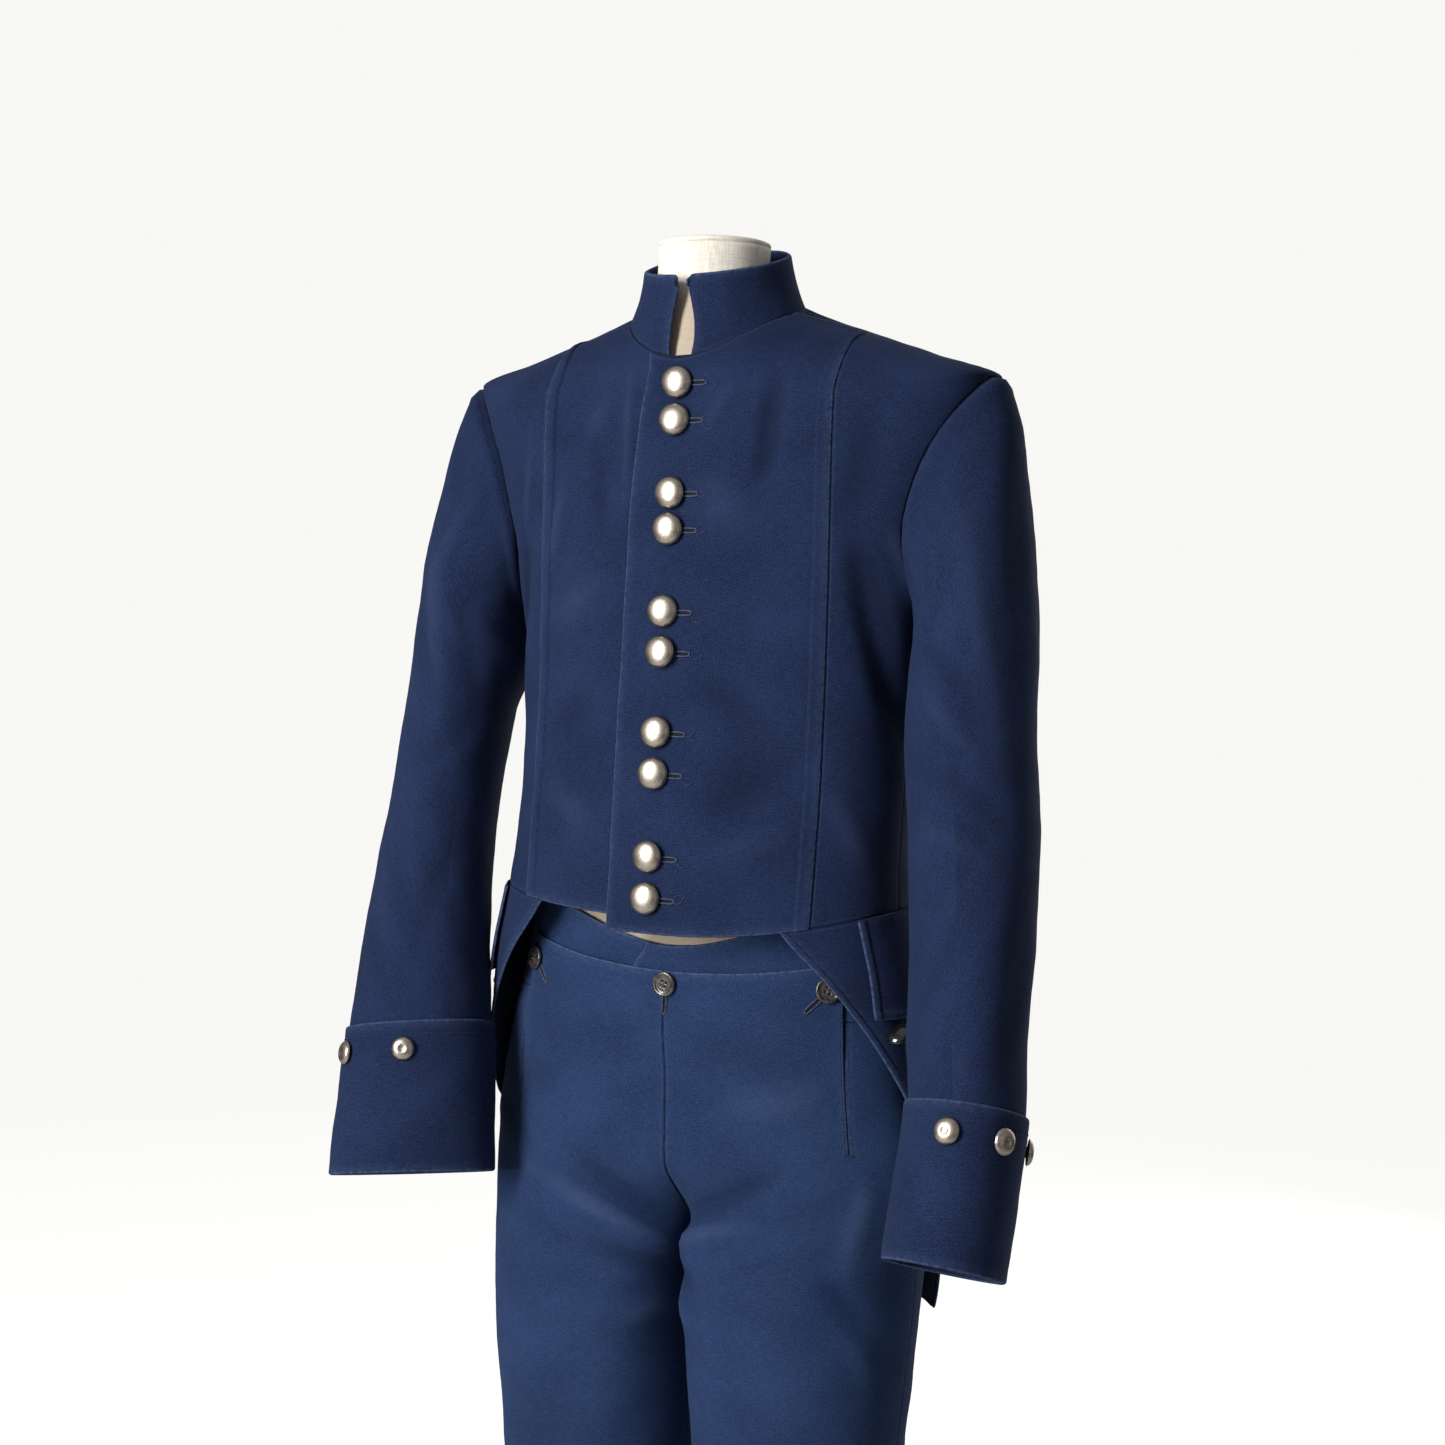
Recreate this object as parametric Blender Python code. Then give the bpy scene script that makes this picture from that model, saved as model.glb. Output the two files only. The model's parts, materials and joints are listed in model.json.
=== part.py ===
"""Stage costume on a limbless dress form: a short-tailed coat and fall-front trousers.

Metres, +Z up. The wearer faces -Y, so the wearer's left side is +X. The origin lies on the floor
under the middle of the round base.
"""
import math
from collections import namedtuple

import bpy
from mathutils import Vector

# Walls and gaps
SEAM_GAP = 0.0003
COAT_WALL = 0.0018
TROUSER_WALL = 0.0016
LAP_RISE = COAT_WALL + 0.0016

# Coat
COAT_HEM = 1.072
ARMPIT = 1.296
SHOULDER_TIP = 1.483
PRINCESS_TOP = 1.517
NECK_SEAM = 1.532
PRINCESS_X = 0.127
LAP_WIDTH = 0.011
LAP_EDGE_RISE = 0.0011
RIGHT_HEM_LIFT = 0.0103
RIGHT_LIFT_REACH = 0.12
FLAP_EDGE_X = -0.033
UNDERLAP_X = 0.028
LAP_FADE_START = 0.040
LAP_FADE_END = 0.080
ARMHOLE_FORE_REACH = 0.053
ARMHOLE_BACK_REACH = 0.066
VENT_HALF_ANGLE = 0.4

# Trousers
TROUSER_HEM = 0.050
CROTCH = 0.780
CROTCH_TOP_FORE = 0.868
CROTCH_TOP_BACK = 0.900
SLIT_FOOT = 0.883
SLIT_WIDTH = 0.0016
FALL_HALF_WIDTH_TOP = 0.139
FALL_HALF_WIDTH_FOOT = 0.152
FALL_TOP_MIDDLE = 1.0155
FALL_TOP_SIDE = 1.030
WAIST_SEAM = 0.985
WAISTBAND_TOP = 1.035
WAISTBAND_TOP_SIDE = 1.062
WAISTBAND_TIP_X = -0.030
WAISTBAND_UNDER_X = 0.020
FALL_RISE = TROUSER_WALL + 3 * SEAM_GAP

# Collar
COLLAR_WALL = 0.0026
COLLAR_GAP_BASE = 0.011
COLLAR_GAP_TOP = 0.005

# Form and stand
FORM_CLEARANCE = 0.0008
FORM_FOOT = 0.885
NECK_CENTRE_X = -0.004
NECK_CENTRE_Y = -0.026
NECK_TOP = 1.5865
CAP_RISE = 0.006
POLE_RADIUS = 0.0125
POLE_X = -0.094
POLE_Y = 0.004
BASE_RADIUS = 0.19
POLE_SEAT_GAP = 0.0006
BASE_HEIGHT = 0.012

CoatRow = namedtuple("CoatRow", "side_z fore_z back_z half_width fore_y side_y back_y square")
COAT = (
    CoatRow(1.072, 1.049, 1.075, 0.172, -0.116, -0.026, 0.098, 2.25),
    CoatRow(1.115, 1.099, 1.118, 0.169, -0.1125, -0.020, 0.097, 2.25),
    CoatRow(1.160, 1.153, 1.163, 0.168, -0.108, -0.014, 0.101, 2.25),
    CoatRow(1.210, 1.205, 1.213, 0.170, -0.104, -0.008, 0.107, 2.3),
    CoatRow(1.255, 1.251, 1.258, 0.174, -0.100, -0.003, 0.113, 2.35),
    CoatRow(1.296, 1.292, 1.300, 0.179, -0.0975, 0.002, 0.117, 2.4),
    CoatRow(1.345, 1.339, 1.350, 0.188, -0.094, 0.003, 0.119, 2.4),
    CoatRow(1.400, 1.390, 1.407, 0.206, -0.0905, 0.003, 0.115, 2.4),
    CoatRow(1.450, 1.435, 1.463, 0.2195, -0.087, 0.002, 0.105, 2.4),
    CoatRow(1.483, 1.460, 1.501, 0.2275, -0.0845, 0.000, 0.093, 2.4),
    CoatRow(1.502, 1.473, 1.522, 0.175, -0.083, -0.003, 0.081, 2.35),
    CoatRow(1.517, 1.484, 1.540, 0.125, -0.0830, -0.009, 0.067, 2.25),
    CoatRow(1.532, 1.495, 1.556, 0.072, -0.0868, -0.025, 0.040, 2.05),
)

SleeveRow = namedtuple(
    "SleeveRow", "along centre_x centre_y centre_z half_wide half_deep lean turn fore_up")
SHOULDER_ROWS = (
    SleeveRow(0.000, 0.2020, 0.001, 1.3895, 0.0965, 0.062, 74, 0, 0),
    SleeveRow(0.014, 0.2078, 0.000, 1.3798, 0.0947, 0.0620, 72.4, 0, 0),
    SleeveRow(0.034, 0.2130, -0.003, 1.362, 0.0884, 0.0625, 68, 0, 0),
    SleeveRow(0.062, 0.2178, -0.009, 1.3363, 0.0767, 0.0620, 60.5, 0, 2),
    SleeveRow(0.098, 0.2225, -0.018, 1.303, 0.0637, 0.0605, 47.5, 0, 5),
)
SLEEVE_LEFT = SHOULDER_ROWS + (
    SleeveRow(0.140, 0.2285, -0.030, 1.262, 0.0545, 0.0590, 29, -6, 9),
    SleeveRow(0.190, 0.2350, -0.046, 1.215, 0.0500, 0.0580, 9, -16, 13),
    SleeveRow(0.270, 0.2505, -0.073, 1.140, 0.0490, 0.0580, -1, -28, 16),
    SleeveRow(0.350, 0.2640, -0.103, 1.067, 0.0455, 0.0590, -4, -28, 17),
    SleeveRow(0.430, 0.2720, -0.128, 0.992, 0.0430, 0.0600, -7, -28, 17),
    SleeveRow(0.480, 0.2790, -0.143, 0.944, 0.0420, 0.0610, -9, -28, 17),
    SleeveRow(0.600, 0.2760, -0.170, 0.840, 0.0425, 0.0625, -11, -28, 17),
)
SLEEVE_RIGHT = SHOULDER_ROWS + (
    SleeveRow(0.140, 0.2300, -0.021, 1.262, 0.0510, 0.0610, 28, 10, 9),
    SleeveRow(0.190, 0.2365, -0.028, 1.215, 0.0455, 0.0625, 9, 24, 12),
    SleeveRow(0.270, 0.2385, -0.045, 1.140, 0.0455, 0.0600, 2, 28, 14),
    SleeveRow(0.350, 0.2360, -0.066, 1.067, 0.0495, 0.0560, -1, 28, 15),
    SleeveRow(0.430, 0.2290, -0.087, 0.992, 0.0550, 0.0510, -3, 28, 15),
    SleeveRow(0.480, 0.2225, -0.100, 0.944, 0.0590, 0.0475, -4, 28, 15),
    SleeveRow(0.600, 0.2120, -0.124, 0.832, 0.0655, 0.0390, -3, 28, 15),
)
SLEEVE_END = 0.505
CUFF_START = 0.474
CUFF_END = 0.598

TAIL_EASE_FOOT = 1.0
TailRow = namedtuple("TailRow", "z half_width fore_y side_y back_y square edge_angle")
TAIL = (
    TailRow(0.736, 0.196, -0.095, -0.008, 0.138, 2.2, 119),
    TailRow(0.780, 0.197, -0.100, -0.012, 0.141, 2.2, 112),
    TailRow(0.850, 0.198, -0.104, -0.016, 0.143, 2.2, 98),
    TailRow(0.916, 0.195, -0.108, -0.020, 0.139, 2.2, 81),
    TailRow(0.975, 0.190, -0.111, -0.024, 0.128, 2.2, 63),
    TailRow(1.015, 0.186, -0.114, -0.026, 0.115, 2.2, 50),
    TailRow(1.072, 0.172, -0.116, -0.026, 0.098, 2.25, 36),
)

HipRow = namedtuple("HipRow", "z half_width fore_y side_y back_y square")
HIPS = (
    HipRow(0.780, 0.1880, -0.076, -0.018, 0.104, 2.3),
    HipRow(0.840, 0.1900, -0.079, -0.018, 0.112, 2.3),
    HipRow(0.883, 0.1880, -0.081, -0.016, 0.113, 2.3),
    HipRow(0.940, 0.1810, -0.083, -0.015, 0.108, 2.3),
    HipRow(0.985, 0.1710, -0.084, -0.013, 0.098, 2.25),
    HipRow(1.016, 0.1630, -0.084, -0.012, 0.091, 2.25),
    HipRow(1.065, 0.1560, -0.086, -0.012, 0.086, 2.25),
)

LegRow = namedtuple("LegRow", "z centre_x centre_y half_wide half_deep")
LEGS = (
    LegRow(0.050, 0.0980, 0.010, 0.0690, 0.0740),
    LegRow(0.250, 0.0980, 0.002, 0.0710, 0.0755),
    LegRow(0.450, 0.0985, -0.005, 0.0735, 0.0780),
    LegRow(0.600, 0.0985, -0.0095, 0.0755, 0.0810),
    LegRow(0.700, 0.0990, -0.012, 0.0835, 0.0870),
    LegRow(0.780, 0.0940, -0.008, 0.0937, 0.0900),
)

ButtonRow = namedtuple("ButtonRow", "radius_share height_share")
DOME = (
    ButtonRow(0.42, 0.00),
    ButtonRow(1.00, 0.26),
    ButtonRow(0.86, 0.70),
    ButtonRow(0.46, 0.95),
)
DISC = (
    ButtonRow(0.50, 0.00),
    ButtonRow(1.00, 0.35),
    ButtonRow(0.90, 1.00),
    ButtonRow(0.60, 0.80),
)
COAT_BUTTON_RADIUS = 0.012
COAT_BUTTON_HEIGHT = 0.0075
COAT_BUTTON_HEIGHTS = (
    1.475, 1.4455, 1.389, 1.361, 1.2975, 1.266, 1.204, 1.172, 1.108, 1.076)
CUFF_BUTTON_RADIUS = 0.0095
CUFF_BUTTON_HEIGHT = 0.006
CUFF_BUTTON_DROP = 0.022
CUFF_BUTTON_PHIS = {1: (112, 62, 4), -1: (84, 26, -26)}
FALL_BUTTON_X = {"right": -0.134, "middle": 0.002, "left": 0.130}
FALL_BUTTON_Z = 1.006
POCKET_BUTTON_Z = 0.981
POCKET_BUTTON_ANGLES = {1: 74, -1: 92}
FALL_BUTTON_RADIUS = 0.010
FALL_BUTTON_HEIGHT = 0.0038
BUTTON_SIDES = 10

COLOURS = {
    "navy": (0.018, 0.033, 0.105),
    "metal": (0.42, 0.36, 0.30),
    "horn": (0.035, 0.030, 0.028),
    "calico": (0.72, 0.67, 0.58),
    "stand": (0.10, 0.10, 0.105),
}


def blend(low, high, share):
    return low + (high - low) * share


def ease(share):
    share = min(max(share, 0.0), 1.0)
    return share * share * (3.0 - 2.0 * share)


def slopes_of(keys, values):
    """Slopes of a smooth curve through the values that never overshoots them."""
    rises = [(values[i + 1] - values[i]) / (keys[i + 1] - keys[i]) for i in range(len(keys) - 1)]
    slopes = [rises[0]]
    for before, after in zip(rises, rises[1:]):
        slopes.append(2 * before * after / (before + after) if before * after > 0 else 0.0)
    slopes.append(rises[-1])
    return slopes


class Curves:
    """The columns of a table, read as smooth curves of its first column."""

    def __init__(self, rows):
        self.keys = [row[0] for row in rows]
        self.columns = {}
        for index, name in enumerate(rows[0]._fields):
            values = [row[index] for row in rows]
            self.columns[name] = (values, slopes_of(self.keys, values))

    def read(self, name, key):
        values, slopes = self.columns[name]
        key = min(max(key, self.keys[0]), self.keys[-1])
        i = 0
        while i < len(self.keys) - 2 and key > self.keys[i + 1]:
            i += 1
        span = self.keys[i + 1] - self.keys[i]
        t = (key - self.keys[i]) / span
        low = (1 + 2 * t) * (1 - t) ** 2 * values[i] + t * (1 - t) ** 2 * span * slopes[i]
        high = t * t * (3 - 2 * t) * values[i + 1] + t * t * (t - 1) * span * slopes[i + 1]
        return low + high


COAT_CURVES = Curves(COAT)
TAIL_CURVES = Curves(TAIL)
HIP_CURVES = Curves(HIPS)
LEG_CURVES = Curves(LEGS)
SLEEVE_CURVES = {1: Curves(SLEEVE_LEFT), -1: Curves(SLEEVE_RIGHT)}


def ring_point(curves, angle, key, fore_z, side_z, back_z):
    """Point of a rounded ring: 0 degrees is centre front, 90 the side, 180 centre back."""
    power = 2.0 / curves.read("square", key)
    side = math.sin(angle)
    fore = math.cos(angle)
    x = curves.read("half_width", key) * math.copysign(abs(side) ** power, side)
    side_y = curves.read("side_y", key)
    end_y = curves.read("fore_y" if fore > 0 else "back_y", key)
    end_z = fore_z if fore > 0 else back_z
    share = abs(fore) ** power
    return Vector((x, blend(side_y, end_y, share), blend(side_z, end_z, fore * fore)))


def coat_point(angle, level):
    """Point on the coat's outer face; a level is the height of its ring at the side."""
    fore_z = COAT_CURVES.read("fore_z", level)
    back_z = COAT_CURVES.read("back_z", level)
    return ring_point(COAT_CURVES, angle, level, fore_z, level, back_z)


def tail_point(angle, z):
    """Point on the outer face of the tails, whose top ring is the coat's hem."""
    lift = ease((z - TAIL_EASE_FOOT) / (COAT_HEM - TAIL_EASE_FOOT))
    fore_z = z + lift * (COAT[0].fore_z - COAT_HEM)
    back_z = z + lift * (COAT[0].back_z - COAT_HEM)
    return ring_point(TAIL_CURVES, angle, z, fore_z, z, back_z)


def hip_point(angle, z):
    return ring_point(HIP_CURVES, angle, z, z, z, z)


def normal_of(surface, angle, key):
    """Outward normal of a surface of angle and height."""
    step_angle = 0.01
    step_key = 0.002
    around = surface(angle + step_angle, key) - surface(angle - step_angle, key)
    up = surface(angle, key + step_key) - surface(angle, key - step_key)
    return around.cross(up).normalized()


def angle_at_x(curves, x, key):
    """Angle at which a ring reaches the distance x from the middle, on its front half."""
    share = min(abs(x) / curves.read("half_width", key), 1.0)
    power = curves.read("square", key) / 2.0
    return math.copysign(math.asin(share ** power), x)


def shared_steps(start, end, count):
    return [blend(start, end, i / count) for i in range(count + 1)]


ARMHOLE_STEPS = 8
ARMHOLE_MIDDLE = (ARMPIT + SHOULDER_TIP) / 2
ARMHOLE_HALF = (SHOULDER_TIP - ARMPIT) / 2
BODY_LEVELS = [row.side_z for row in COAT if row.side_z < ARMPIT]
ARMHOLE_LEVELS = [
    ARMHOLE_MIDDLE - ARMHOLE_HALF * math.cos(math.pi * k / ARMHOLE_STEPS)
    for k in range(ARMHOLE_STEPS + 1)]
SHOULDER_LEVELS = [1.493, 1.502, 1.509, 1.514, PRINCESS_TOP]
SIDE_LEVELS = BODY_LEVELS + ARMHOLE_LEVELS + SHOULDER_LEVELS
NECK_LEVELS = [1.5245, NECK_SEAM]
COAT_LEVELS = SIDE_LEVELS + NECK_LEVELS
QUARTER = math.radians(90)
PRINCESS_END = math.radians(89.2)
BACK_COLUMNS = 6
SIDE_COLUMNS = 4
FRONT_STOPS = (COLLAR_GAP_BASE, 0.035, 0.075, PRINCESS_X - LAP_WIDTH - 0.003,
               PRINCESS_X - LAP_WIDTH, PRINCESS_X)


def front_angles(level, first_x):
    """Angles of a front's columns, from its centre edge to the princess seam or the shoulder."""
    width = COAT_CURVES.read("half_width", level)
    squeeze = min(1.0, width / PRINCESS_X) if level > PRINCESS_TOP else 1.0
    stops = [first_x, FRONT_STOPS[0]] + [x * squeeze for x in FRONT_STOPS[1:]]
    angles = [angle_at_x(COAT_CURVES, x, level) for x in stops]
    angles[-1] = min(angles[-1], PRINCESS_END) if level <= PRINCESS_TOP else QUARTER
    return angles


def princess_angle(level):
    return front_angles(level, 0.0)[-1]


def armhole_angle(level, sign):
    """Angle of the armhole's edge at a level, on its fore half (sign 1) or back half (sign -1)."""
    height = (level - ARMHOLE_MIDDLE) / ARMHOLE_HALF
    share = math.sqrt(max(0.0, 1.0 - height * height))
    side_y = COAT_CURVES.read("side_y", level)
    end_y = COAT_CURVES.read("fore_y" if sign > 0 else "back_y", level)
    reach = ARMHOLE_FORE_REACH if sign > 0 else ARMHOLE_BACK_REACH
    power = COAT_CURVES.read("square", level) / 2.0
    swing = math.acos((reach * share / abs(end_y - side_y)) ** power)
    return swing if sign > 0 else math.pi - swing


def armhole_point(phi):
    """Point of the armhole; phi runs from the shoulder tip to the front, armpit and back."""
    level = ARMHOLE_MIDDLE + ARMHOLE_HALF * math.cos(phi)
    sign = 1 if math.sin(phi) >= 0 else -1
    angle = armhole_angle(level, sign)
    return coat_point(angle, level), normal_of(coat_point, angle, level)


def sleeve_ring(side, phi, along):
    read = SLEEVE_CURVES[side].read
    lean = math.radians(read("lean", along))
    turn = math.radians(read("turn", along))
    fore_up = math.radians(read("fore_up", along))
    outward = Vector((math.cos(lean) * math.cos(turn), -math.cos(lean) * math.sin(turn),
                      math.sin(lean)))
    forward = Vector((-math.sin(turn) * math.cos(fore_up), -math.cos(turn) * math.cos(fore_up),
                      math.sin(fore_up)))
    centre = Vector((read("centre_x", along), read("centre_y", along), read("centre_z", along)))
    return (centre + outward * read("half_wide", along) * math.cos(phi)
            + forward * read("half_deep", along) * math.sin(phi))


def sleeve_point(side, phi, along):
    """Point on a sleeve's outer face, whose first ring is the armhole."""
    fade = 1.0 - ease(along / SHOULDER_ROWS[-1].along)
    point = sleeve_ring(side, phi, along)
    if fade > 0:
        point += (armhole_point(phi)[0] - sleeve_ring(side, phi, 0.0)) * fade
    return point


def sleeve_normal(side, phi, along):
    step_phi = 0.02
    step_along = 0.003
    around = sleeve_point(side, phi + step_phi, along) - sleeve_point(side, phi - step_phi, along)
    down = (sleeve_point(side, phi, along + step_along)
            - sleeve_point(side, phi, max(along - step_along, 0.0)))
    return around.cross(down).normalized()


def armhole_seam(side, phi):
    """Seam point, direction across the seam into the sleeve, and the normal that both walls share."""
    point, body_normal = armhole_point(phi)
    step = 0.02
    around = (armhole_point(phi + step)[0] - armhole_point(phi - step)[0]).normalized()
    into_body = around.cross(body_normal).normalized()
    into_sleeve = sleeve_point(side, phi, 0.006) - point
    into_sleeve = (into_sleeve - around * into_sleeve.dot(around)).normalized()
    across = (into_sleeve - into_body).normalized()
    return point, across, around.cross(across).normalized()


def add_piece(name, vertices, faces, colour, roughness, metallic=0.0):
    mesh = bpy.data.meshes.new(name)
    mesh.from_pydata([tuple(vertex) for vertex in vertices], [], faces)
    mesh.validate()
    mesh.shade_smooth()
    mesh.set_sharp_from_angle(angle=math.radians(40))
    material = bpy.data.materials.new(name)
    material.use_nodes = True
    shader = material.node_tree.nodes["Principled BSDF"]
    shader.inputs["Base Color"].default_value = COLOURS[colour] + (1.0,)
    shader.inputs["Roughness"].default_value = roughness
    shader.inputs["Metallic"].default_value = metallic
    mesh.materials.append(material)
    piece = bpy.data.objects.new(name, mesh)
    bpy.context.scene.collection.objects.link(piece)
    return piece


def cloth_piece(name, outer, inner, side=1, closed=False, keep=None, colour="navy"):
    """A wall between two grids of points; rows by columns, columns x rows pointing outward."""
    rows = len(outer)
    columns = len(outer[0])
    cells = {(r, c) for r in range(rows - 1) for c in range(columns if closed else columns - 1)
             if keep is None or keep(r, c)}
    numbers = {}
    vertices = []

    def number(layer, r, c):
        key = (layer, r, c % columns)
        if key not in numbers:
            point = (outer if layer == 0 else inner)[r][c % columns]
            numbers[key] = len(vertices)
            vertices.append(Vector((point.x * side, point.y, point.z)))
        return numbers[key]

    faces = []
    for r, c in sorted(cells):
        ring = ((r, c), (r, c + 1), (r + 1, c + 1), (r + 1, c))
        faces.append([number(0, *corner) for corner in ring])
        faces.append([number(1, *corner) for corner in reversed(ring)])
        neighbours = ((r - 1, c), (r, c + 1), (r + 1, c), (r, c - 1))
        for k, beside in enumerate(neighbours):
            if closed:
                beside = (beside[0], beside[1] % columns)
            if beside not in cells:
                start = ring[k]
                end = ring[(k + 1) % 4]
                faces.append([number(0, *end), number(0, *start), number(1, *start),
                              number(1, *end)])
    if side < 0:
        faces = [face[:1] + face[:0:-1] for face in faces]
    return add_piece(name, vertices, faces, colour, 0.85)


def part_edge(outer, inner, line, inward, gap=SEAM_GAP / 2):
    """Moves one border line of a wall back from its seam, towards the line beside it."""
    for border, beside in zip(line, inward):
        (r, c), (r2, c2) = border, beside
        shift = (outer[r2][c2] - outer[r][c]).normalized() * gap
        outer[r][c] = outer[r][c] + shift
        inner[r][c] = inner[r][c] + shift


def part_seams(outer, inner, borders):
    """Opens the seam gap along the named borders: first, last (columns), low, high (rows)."""
    rows = range(len(outer))
    columns = range(len(outer[0]))
    lines = {
        "first": ([(r, 0) for r in rows], [(r, 1) for r in rows]),
        "last": ([(r, columns[-1]) for r in rows], [(r, columns[-2]) for r in rows]),
        "low": ([(0, c) for c in columns], [(1, c) for c in columns]),
        "high": ([(rows[-1], c) for c in columns], [(rows[-2], c) for c in columns]),
    }
    for name in borders:
        part_edge(outer, inner, *lines[name])


def wall_grid(surface, keys, angles_at, rise_at, wall):
    """Outer and inner points of a wall on a surface; rise_at gives how far it stands proud."""
    outer = []
    inner = []
    for key in keys:
        outer_row = []
        inner_row = []
        for index, angle in enumerate(angles_at(key)):
            point = surface(angle, key)
            normal = normal_of(surface, angle, key)
            rise = rise_at(index, angle, key)
            outer_row.append(point + normal * rise)
            inner_row.append(point + normal * (rise - wall_at(wall, index, key)))
        outer.append(outer_row)
        inner.append(inner_row)
    return outer, inner


def wall_at(wall, index, key):
    return wall(index, key) if callable(wall) else wall


def no_rise(index, angle, key):
    return 0.0


def coat_surface(side):
    """The wearer's right front ends higher than the left one, which droops at its free edge."""
    def point_at(angle, level):
        lift = 0.0
        if side < 0:
            low = 1.0 - ease((level - COAT_HEM) / RIGHT_LIFT_REACH)
            lift = RIGHT_HEM_LIFT * max(math.cos(angle), 0.0) ** 2 * low
        point = coat_point(angle, level + lift)
        if angle < 0:
            point.z = COAT_CURVES.read("fore_z", level + lift)
        return point
    return point_at


def tail_surface(side):
    def point_at(angle, z):
        high = ease((z - TAIL_EASE_FOOT) / (COAT_HEM - TAIL_EASE_FOOT))
        hem_shift = coat_surface(side)(angle, COAT_HEM) - coat_point(angle, COAT_HEM)
        return tail_point(angle, z) + hem_shift * high
    return point_at


def seat_on_armhole(side, levels, outer, inner, column, sign):
    """Gives a panel's armhole edge the normal that it shares with the sleeve."""
    for r, level in enumerate(levels):
        if ARMPIT - 1e-6 <= level <= SHOULDER_TIP + 1e-6:
            height = min(max((level - ARMHOLE_MIDDLE) / ARMHOLE_HALF, -1.0), 1.0)
            phi = math.acos(height) * sign
            shared_normal = armhole_seam(side, phi)[2]
            inner[r][column] = outer[r][column] - shared_normal * COAT_WALL


def outside_armhole(levels):
    return [r for r, level in enumerate(levels)
            if level < ARMPIT + 1e-6 or level > SHOULDER_TIP - 1e-6]


def coat_front(side):
    first_x = FLAP_EDGE_X if side > 0 else -UNDERLAP_X
    lapped = len(FRONT_STOPS)

    def angles_at(level):
        angles = front_angles(level, first_x)
        return angles[:1] + [-angles[1]] + angles[1:]

    def rise_at(index, angle, level):
        rise = LAP_EDGE_RISE if index >= lapped and level <= PRINCESS_TOP else 0.0
        if side > 0:
            x = coat_point(angle, level).x
            rise += LAP_RISE * (1.0 - ease((x - LAP_FADE_START) / (LAP_FADE_END - LAP_FADE_START)))
        return rise

    def wall_of(index, level):
        return COAT_WALL + (LAP_EDGE_RISE if index >= lapped and level <= PRINCESS_TOP else 0.0)

    outer, inner = wall_grid(coat_surface(side), COAT_LEVELS, angles_at, rise_at, wall_of)
    part_seams(outer, inner, ["last"])
    return outer, inner


def coat_side(side):
    def angles_at(level):
        end = armhole_angle(level, 1) if ARMPIT < level < SHOULDER_TIP else QUARTER
        return shared_steps(princess_angle(level), end, SIDE_COLUMNS)

    outer, inner = wall_grid(coat_surface(side), SIDE_LEVELS, angles_at, no_rise, COAT_WALL)
    seat_on_armhole(side, SIDE_LEVELS, outer, inner, SIDE_COLUMNS, 1)
    part_seams(outer, inner, ["first"])
    rows = outside_armhole(SIDE_LEVELS)
    part_edge(outer, inner, [(r, SIDE_COLUMNS) for r in rows],
              [(r, SIDE_COLUMNS - 1) for r in rows])
    return outer, inner


def coat_back(side):
    def angles_at(level):
        start = armhole_angle(level, -1) if ARMPIT < level < SHOULDER_TIP else QUARTER
        return shared_steps(start, math.pi, BACK_COLUMNS)

    outer, inner = wall_grid(coat_surface(side), COAT_LEVELS, angles_at, no_rise, COAT_WALL)
    seat_on_armhole(side, COAT_LEVELS, outer, inner, 0, -1)
    part_seams(outer, inner, ["last"])
    rows = outside_armhole(COAT_LEVELS)
    part_edge(outer, inner, [(r, 0) for r in rows], [(r, 1) for r in rows])
    return outer, inner


COLLAR_BASE_GAP = 0.0010
COLLAR_TOP_RADIUS = 0.0585
COLLAR_TOP_CENTRE_Y = -0.0265
COLLAR_TOP_FORE = 1.5575
COLLAR_TOP_BACK = 1.592
COLLAR_HOLLOW = 0.002
COLLAR_SHARES = (0.0, 0.3, 0.65, 1.0)


def collar_point(angle, share):
    """Point on the collar's outer face; share runs from the neck seam to the top edge."""
    base = coat_point(angle, NECK_SEAM)
    base.z += COLLAR_BASE_GAP
    top = Vector((COLLAR_TOP_RADIUS * math.sin(angle),
                  COLLAR_TOP_CENTRE_Y - COLLAR_TOP_RADIUS * math.cos(angle),
                  blend(COLLAR_TOP_FORE, COLLAR_TOP_BACK, (1.0 - math.cos(angle)) / 2.0)))
    point = base.lerp(top, share)
    hollow = COLLAR_HOLLOW * math.sin(math.pi * share)
    point.x -= hollow * math.sin(angle)
    point.y += hollow * math.cos(angle)
    return point


def collar_end_angle(share):
    base_end = front_angles(NECK_SEAM, 0.0)[1]
    top_end = math.asin(COLLAR_GAP_TOP / COLLAR_TOP_RADIUS)
    return blend(base_end, top_end, share ** 1.5)


def collar():
    half = front_angles(NECK_SEAM, 0.0)[2:] + shared_steps(QUARTER, math.pi, BACK_COLUMNS)[1:]
    around = half + [2 * math.pi - angle for angle in reversed(half[:-1])]

    def angles_at(share):
        end = collar_end_angle(share)
        return [end] + around + [2 * math.pi - end]

    return wall_grid(collar_point, COLLAR_SHARES, angles_at, no_rise, COLLAR_WALL)


SLEEVE_SEGMENTS = 16
SLEEVE_STEP = 2 * math.pi / SLEEVE_SEGMENTS
SLEEVE_SEAM = 5
SLEEVE_ALONGS = (
    0.0, 0.014, 0.034, 0.062, 0.098, 0.14, 0.19, 0.25, 0.31, 0.37, 0.43, 0.475, SLEEVE_END)
SLEEVE_SEAM_GAP = 0.0010
CUFF_WALL = 0.0022
CUFF_RISE = 0.0006


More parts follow.
